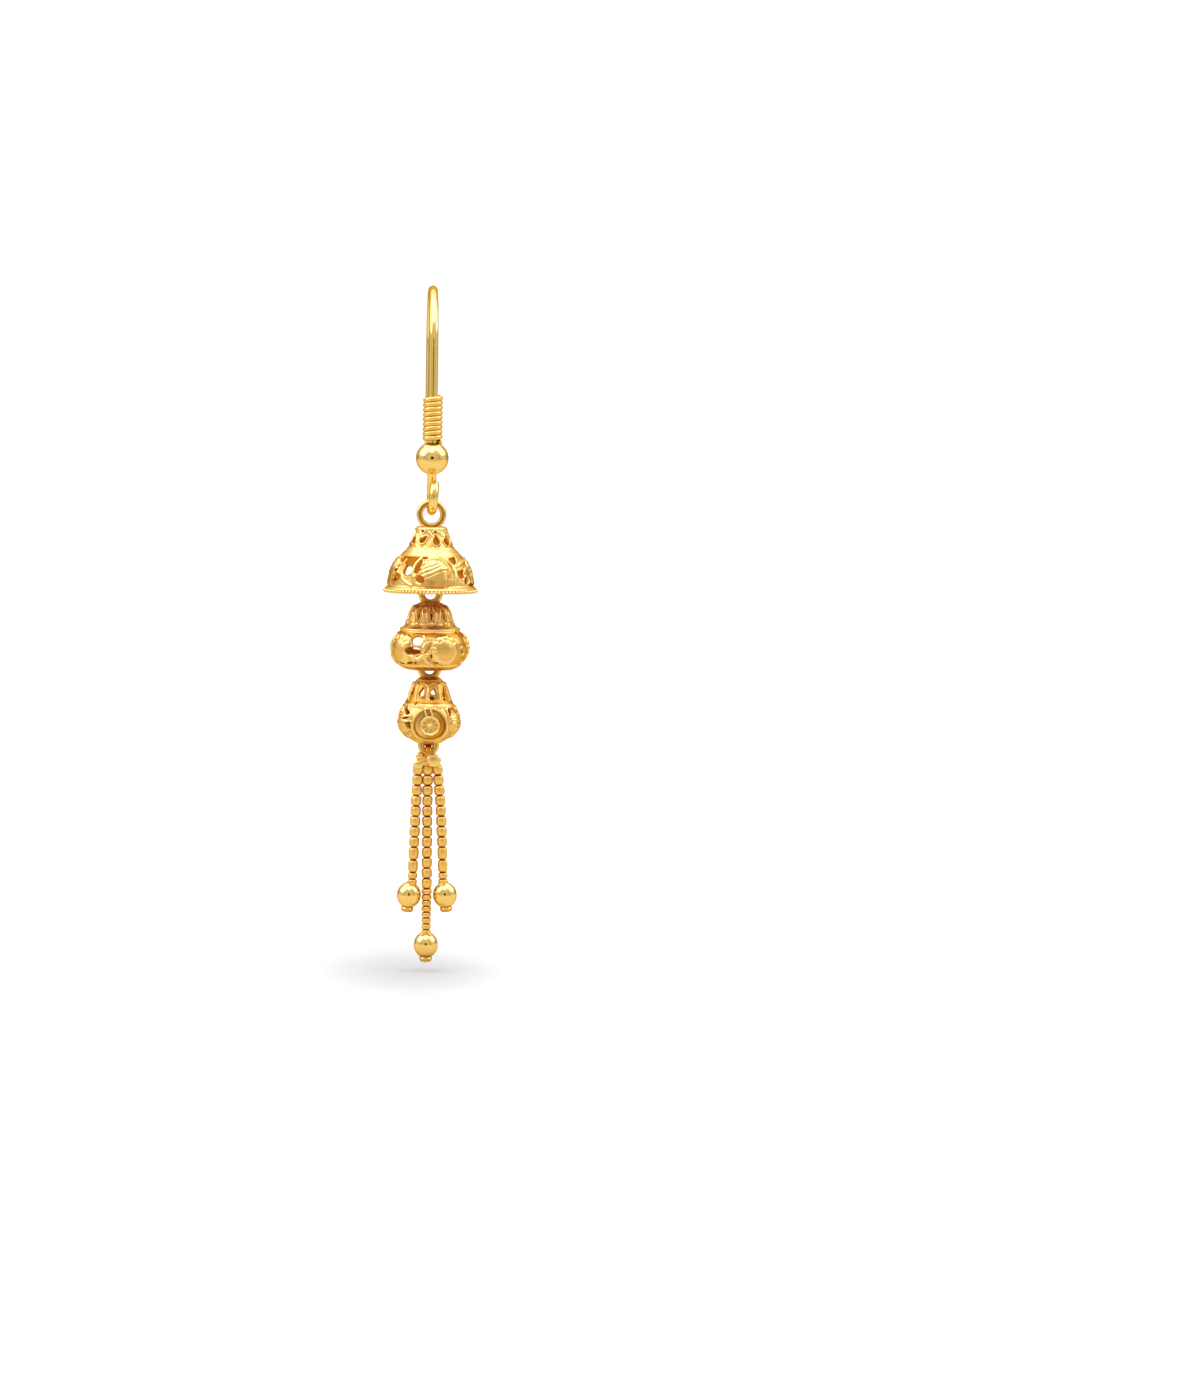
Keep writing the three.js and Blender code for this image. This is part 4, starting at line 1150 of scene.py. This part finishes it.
def makeYoke():
    # Flat tapered body between the link and the chains, lobes soldered to its front, a small hole's rim
    low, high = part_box("tassel_yoke")
    linkZ = high.z / mm - tassel["linkRadius"] - tassel["linkWire"]
    topZ, footZ = linkZ - 0.04, low.z / mm
    k = np.array([0, 0, 0.04, 0.25, 0.5, 0.75, 0.95, 1, 1])
    r = tassel["bodyRadius"] * np.array([0, 0.36, 0.46, 0.72, 0.94, 1.02, 1.0, 0.9, 0])
    # painted shade over the body, darkest at the top under the link
    body = revolved(r * mm, (topZ - (topZ - footZ) * k) * mm, (0, dropAxis, 0), 48, 0.75 - 0.5 * k)
    co = spotsOf(body)
    co[:, 1] = dropAxis + (co[:, 1] - dropAxis) * 0.55
    body.vertices.foreach_set("co", co.reshape(-1))
    # painted shade over the link, a little on one small lobe, and full painted shade on the lump behind the
    # link
    mesh = joinMeshes([
        body,
        ringMesh(linkZ * mm, tassel["linkRadius"], tassel["linkWire"], facing="side", steps=48, flat=1.6,
                 shade=0.8),
        lobeMesh(0.72, 0.66, 0.5, -0.70, -0.2, linkZ - 0.26),
        lobeMesh(0.84, 0.84, 0.56, -0.80, -0.24, footZ + 0.1),
        lobeMesh(0.52, 0.3, 0.5, -0.06, -0.5, footZ + 0.22, shade=0.3),
        lobeMesh(1.2, 1.12, 0.56, 0.42, -0.5, linkZ - 0.6, dent=0.3),
        lobeMesh(0.8, 0.6, 0.3, 0, 0.3, linkZ + 0.75, shade=1.0),
        ringMesh((footZ + 0.34) * mm, 0.12, 0.06, offset=(-0.44, -0.5), steps=24),
    ])
    addPiece("tasselYoke", mesh, "lower", "cast_gold", castGold, replaces=["tassel_yoke"])


def barrelMesh(centre, axis, radius, height, squash):
    # Barrel bead: nearly straight side, rounded shoulders and flat ends that bear on the next bead
    edge = np.array([0.0, 0.48, 0.68, 0.84, 0.96, 1.0, 1.0, 0.96, 0.84, 0.68, 0.48, 0.0])
    lift = np.array([0.5, 0.5, 0.475, 0.42, 0.31, 0.14, -0.14, -0.31, -0.42, -0.475, -0.5, -0.5])
    # painted shade on the shoulders and flat ends, where the beads meet
    shade = softStep(np.abs(lift), 0.32, 0.47)
    return revolved(edge * radius * squash * mm, lift * height * mm, centre, 20, shade, axis)


def makeChain(side):
    # Beads from the top of the first stretch down to the ball, one line through the stretches' ends.
    # The last of them are split in two and a little thinner.
    rng = np.random.default_rng({"left": 3, "middle": 5, "right": 8}[side])
    ends = []
    for name in chainStretches[side]:
        spotX, spotZ = spotsOf(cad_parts[name].data).T[[0, 2]]
        upper, under = spotX[spotZ > spotZ.max() - 0.12 * mm], spotX[spotZ < spotZ.min() + 0.12 * mm]
        ends.append(((upper.min() + upper.max()) / 2, spotZ.max()))
        foot = (under.min() + under.max()) / 2
    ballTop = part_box(side + "_ball")[0].z + (ball["fall"] + 0.9 * ball["radius"]) * mm
    tops = np.array(ends + [(foot, ballTop)])
    count = sum(beadCounts[side])
    places = np.arange(count + 1)
    run = np.concatenate([[0], np.cumsum(beadCounts[side])])
    x, z = [np.interp(places, run, tops[:, k]) for k in (0, 1)]
    x = np.convolve(np.concatenate([[2 * x[0] - x[1]], x, [2 * x[-1] - x[-2]]]), [0.25, 0.5, 0.25], "valid")
    beads = []
    for i in range(count):
        start, end = np.array([x[i], dropAxis, z[i]]), np.array([x[i + 1], dropAxis, z[i + 1]])
        axis = (start - end) / np.linalg.norm(start - end)
        tilt = axis + np.append(rng.normal(0, 0.04, 2), 0)
        fine = i >= count - tassel["fineRows"][side]
        growth = (tassel["beadRadius"] - tassel["footRadius"]) * min(1, (count - 1 - i) / 4)
        radius = tassel["footRadius"] + growth
        for part in ((0.25, 0.75) if fine else (0.5,)):
            share = 0.5 if fine else 1.0
            height = np.linalg.norm(start - end) / mm * share * 0.985
            squash = 1 + rng.normal(0, 0.015)
            beads.append(barrelMesh(start + (end - start) * part, tilt, radius, height, squash))
    addPiece(side + "Chain", joinMeshes(beads), "lower", "bead_gold", beadGold, replaces=chainStretches[side])


def makeBall(side):
    # Slightly tall sphere over a stepped end cap, turned round its own leaning line
    nodeName = side + "_ball"
    co = spotsOf(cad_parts[nodeName].data)
    top = co[co[:, 2] > co[:, 2].max() - 0.2 * mm].mean(0)
    foot = co[co[:, 2] < co[:, 2].min() + 0.2 * mm].mean(0)
    axis = (top - foot) / np.linalg.norm(top - foot)
    centre = foot + axis * ball["fall"] * mm
    a = np.linspace(math.radians(18), math.radians(149), ball["rows"])
    r = np.concatenate([[0, 0.26], ball["radius"] * np.sin(a), ball["capRadii"]])
    z = np.concatenate([[0.94, 0.94], ball["radius"] * ball["tall"] * np.cos(a), ball["capHeights"]])
    # painted shade at the top where the chain enters, at the joint to the cap and in the cap's steps
    shade = np.concatenate([[1, 1], peak(a - a[-1], 0.07) + peak(a - a[0], 0.1), ball["capShades"]])
    mesh = revolved(r * mm, z * mm, centre, ball["sides"], shade, axis)
    addPiece(side + "Ball", mesh, "lower", "polished_gold", polishedGold, replaces=[nodeName])


makeYoke()
for side in chainStretches:
    makeChain(side)
    makeBall(side)
print("tassel made")


# floorGap and the shadow's sizes in mm, the rest of the room in metres
room = {"floorGap": 0.7, "floorWidth": 1.6, "floorFront": -0.8, "floorDepth": 0.35, "cove": 0.12,
        "wallHeight": 0.9, "shadowX": -1.4, "shadowWidth": 11.5, "shadowDepth": 25.0, "shadow": 0.44}


def plainFinish(name, colour, glow=0.0):
    return newMaterial(name, {"Base Color": (*colour, 1), "Roughness": 0.9, "Specular IOR Level": 0.0,
                              "Emission Color": (*colour, 1), "Emission Strength": glow})


def floorLevel():
    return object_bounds()[0].z - room["floorGap"] * mm


def floorFinish():
    # White, with a soft shade under the earring: shadow exp(-(x / width)^2 - (y / depth)^2)
    material, tree, shader = plainFinish("studioWhite", (0.78, 0.78, 0.78), glow=0.16)
    where = node(tree, "TexCoord")
    place = node(tree, "Mapping", {
        "Location": (room["shadowX"] * mm, dropAxis, floorLevel()),
        "Scale": (room["shadowWidth"] * mm, room["shadowDepth"] * mm, 1),
    }, vector_type="TEXTURE")
    square = node(tree, "VectorMath", operation="DOT_PRODUCT")
    fall = node(tree, "Math", {1: -1.0}, operation="MULTIPLY")
    fade = node(tree, "Math", operation="EXPONENT")
    strength = node(tree, "Math", {1: room["shadow"]}, operation="MULTIPLY")
    mix = node(tree, "Mix", {6: (0.775, 0.785, 0.775, 1), 7: (0, 0, 0, 1)}, data_type="RGBA")
    wire(tree, (where, "Object", place, "Vector"), (place, 0, square, 0), (place, 0, square, 1),
         (square, "Value", fall, 0), (fall, 0, fade, 0), (fade, 0, strength, 0), (strength, 0, mix, 0),
         (mix, 2, shader, "Base Color"))
    return material


def stagePiece(name, mesh, material):
    mesh.name = name
    mesh.materials.append(material)
    piece = linked(name, mesh)
    piece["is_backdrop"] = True
    return piece


def makeRoom():
    # Floor that bends up into a wall behind: a straight run, a quarter circle, a straight rise
    a = np.radians(np.linspace(0, 90, 12))
    wallY = room["floorDepth"] + room["cove"]
    y = np.concatenate([[room["floorFront"]], room["floorDepth"] + room["cove"] * np.sin(a), [wallY]])
    z = np.concatenate([[0], room["cove"] * (1 - np.cos(a)), [room["wallHeight"]]]) + floorLevel()
    x = np.array([-room["floorWidth"], room["floorWidth"]])
    points = np.stack(np.broadcast_arrays(x[None], y[:, None], z[:, None]), -1)
    stagePiece("studioFloor", gridMesh(points, "open", flip=True), floorFinish())


def areaLight(name, place, target, size, power, colour):
    data = bpy.data.lights.new(name, "AREA")
    data.shape = "RECTANGLE"
    data.size, data.size_y = size
    data.energy = power
    data.color = colour
    light = linked(name, data)
    light.location = place
    light.rotation_euler = (target - Vector(place)).to_track_quat("-Z", "Y").to_euler()


def makeLights(centre):
    cool, cooler = (1, 1, 1.1), (1, 1, 1.15)
    areaLight("upperLeft", (-0.21, -0.03, 0.28), centre, (0.38, 0.60), 1.15, cool)
    areaLight("upperRight", (0.21, -0.01, 0.28), centre, (0.33, 0.58), 0.90, cool)
    areaLight("upperFront", (-0.02, -0.26, 0.34), centre, (0.22, 0.12), 0.2, cooler)
    areaLight("upperBack", (0, 0.24, 0.36), centre, (0.5, 0.24), 0.3, cooler)
    world = bpy.data.worlds.new("studioWorld")
    bpy.context.scene.world = world
    world.use_nodes = True
    background = world.node_tree.nodes["Background"]
    background.inputs["Color"].default_value = (1, 0.97, 0.91, 1)
    background.inputs["Strength"].default_value = 0.74


def reflectionCard(name, width, height, place, facing, shade):
    # Card that only reflections see
    corners = [[[-width, 0, -height], [width, 0, -height]], [[-width, 0, height], [width, 0, height]]]
    finish = plainFinish(name, (shade, shade * 0.9, shade * 0.6))[0]
    card = stagePiece(name, gridMesh(np.array(corners) / 2, "open"), finish)
    card.location = place
    card.rotation_euler = Vector(facing).to_track_quat("-Y", "Z").to_euler()
    card.visible_camera = card.visible_diffuse = card.visible_shadow = False


def makeCards(centre, direction):
    # Dark lens and dim room on the camera's side, grey behind, and a floor that reflects less than it shows
    level = floorLevel() + 0.001
    reflectionCard("lensCard", 0.16, 0.18, centre + direction * 0.43, direction, 0.02)
    reflectionCard("cameraCard", 1.6, 0.5, centre + direction * 0.44, direction, 0.62)
    reflectionCard("backCard", 1.6, 0.8, centre - direction * 0.30 - Vector((0, 0, 0.26)), direction, 0.44)
    reflectionCard("floorCard", 1.6, 0.36, (0, 0.08, level), (0, 0, 1), 0.6)
    reflectionCard("frontCard", 1.6, 0.6, (0, -0.4, level), (0, 0, 1), 0.5)


view = {"distance": 0.4, "elevation": 3.5, "azimuth": -1.6, "roll": 0.75, "lens": 128.7,
        "shiftX": 0.1235, "shiftY": -0.0458}


def makeCamera(centre):
    a, e = math.radians(view["azimuth"]), math.radians(view["elevation"])
    direction = Vector((math.sin(a) * math.cos(e), -math.cos(a) * math.cos(e), math.sin(e)))
    low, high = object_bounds()
    target = Vector((0, dropAxis, (low.z + high.z) / 2))
    data = bpy.data.cameras.new("camera")
    data.lens, data.sensor_width = view["lens"], 36
    data.shift_x, data.shift_y = view["shiftX"], view["shiftY"]
    data.clip_start, data.clip_end = 0.02, 20
    camera = linked("camera", data)
    aim = (-direction).to_track_quat("-Z", "Y").to_matrix().to_4x4()
    spin = Matrix.Rotation(math.radians(view["roll"]), 4, "Z")
    camera.matrix_world = Matrix.Translation(target + direction * view["distance"]) @ aim @ spin
    bpy.context.scene.camera = camera
    makeCards(centre, direction)


dropCentre = Vector((0, dropAxis, -0.027))
makeRoom()
makeLights(dropCentre)
makeCamera(dropCentre)
bpy.context.scene.view_settings.view_transform = "Standard"
print("room, light and camera made")
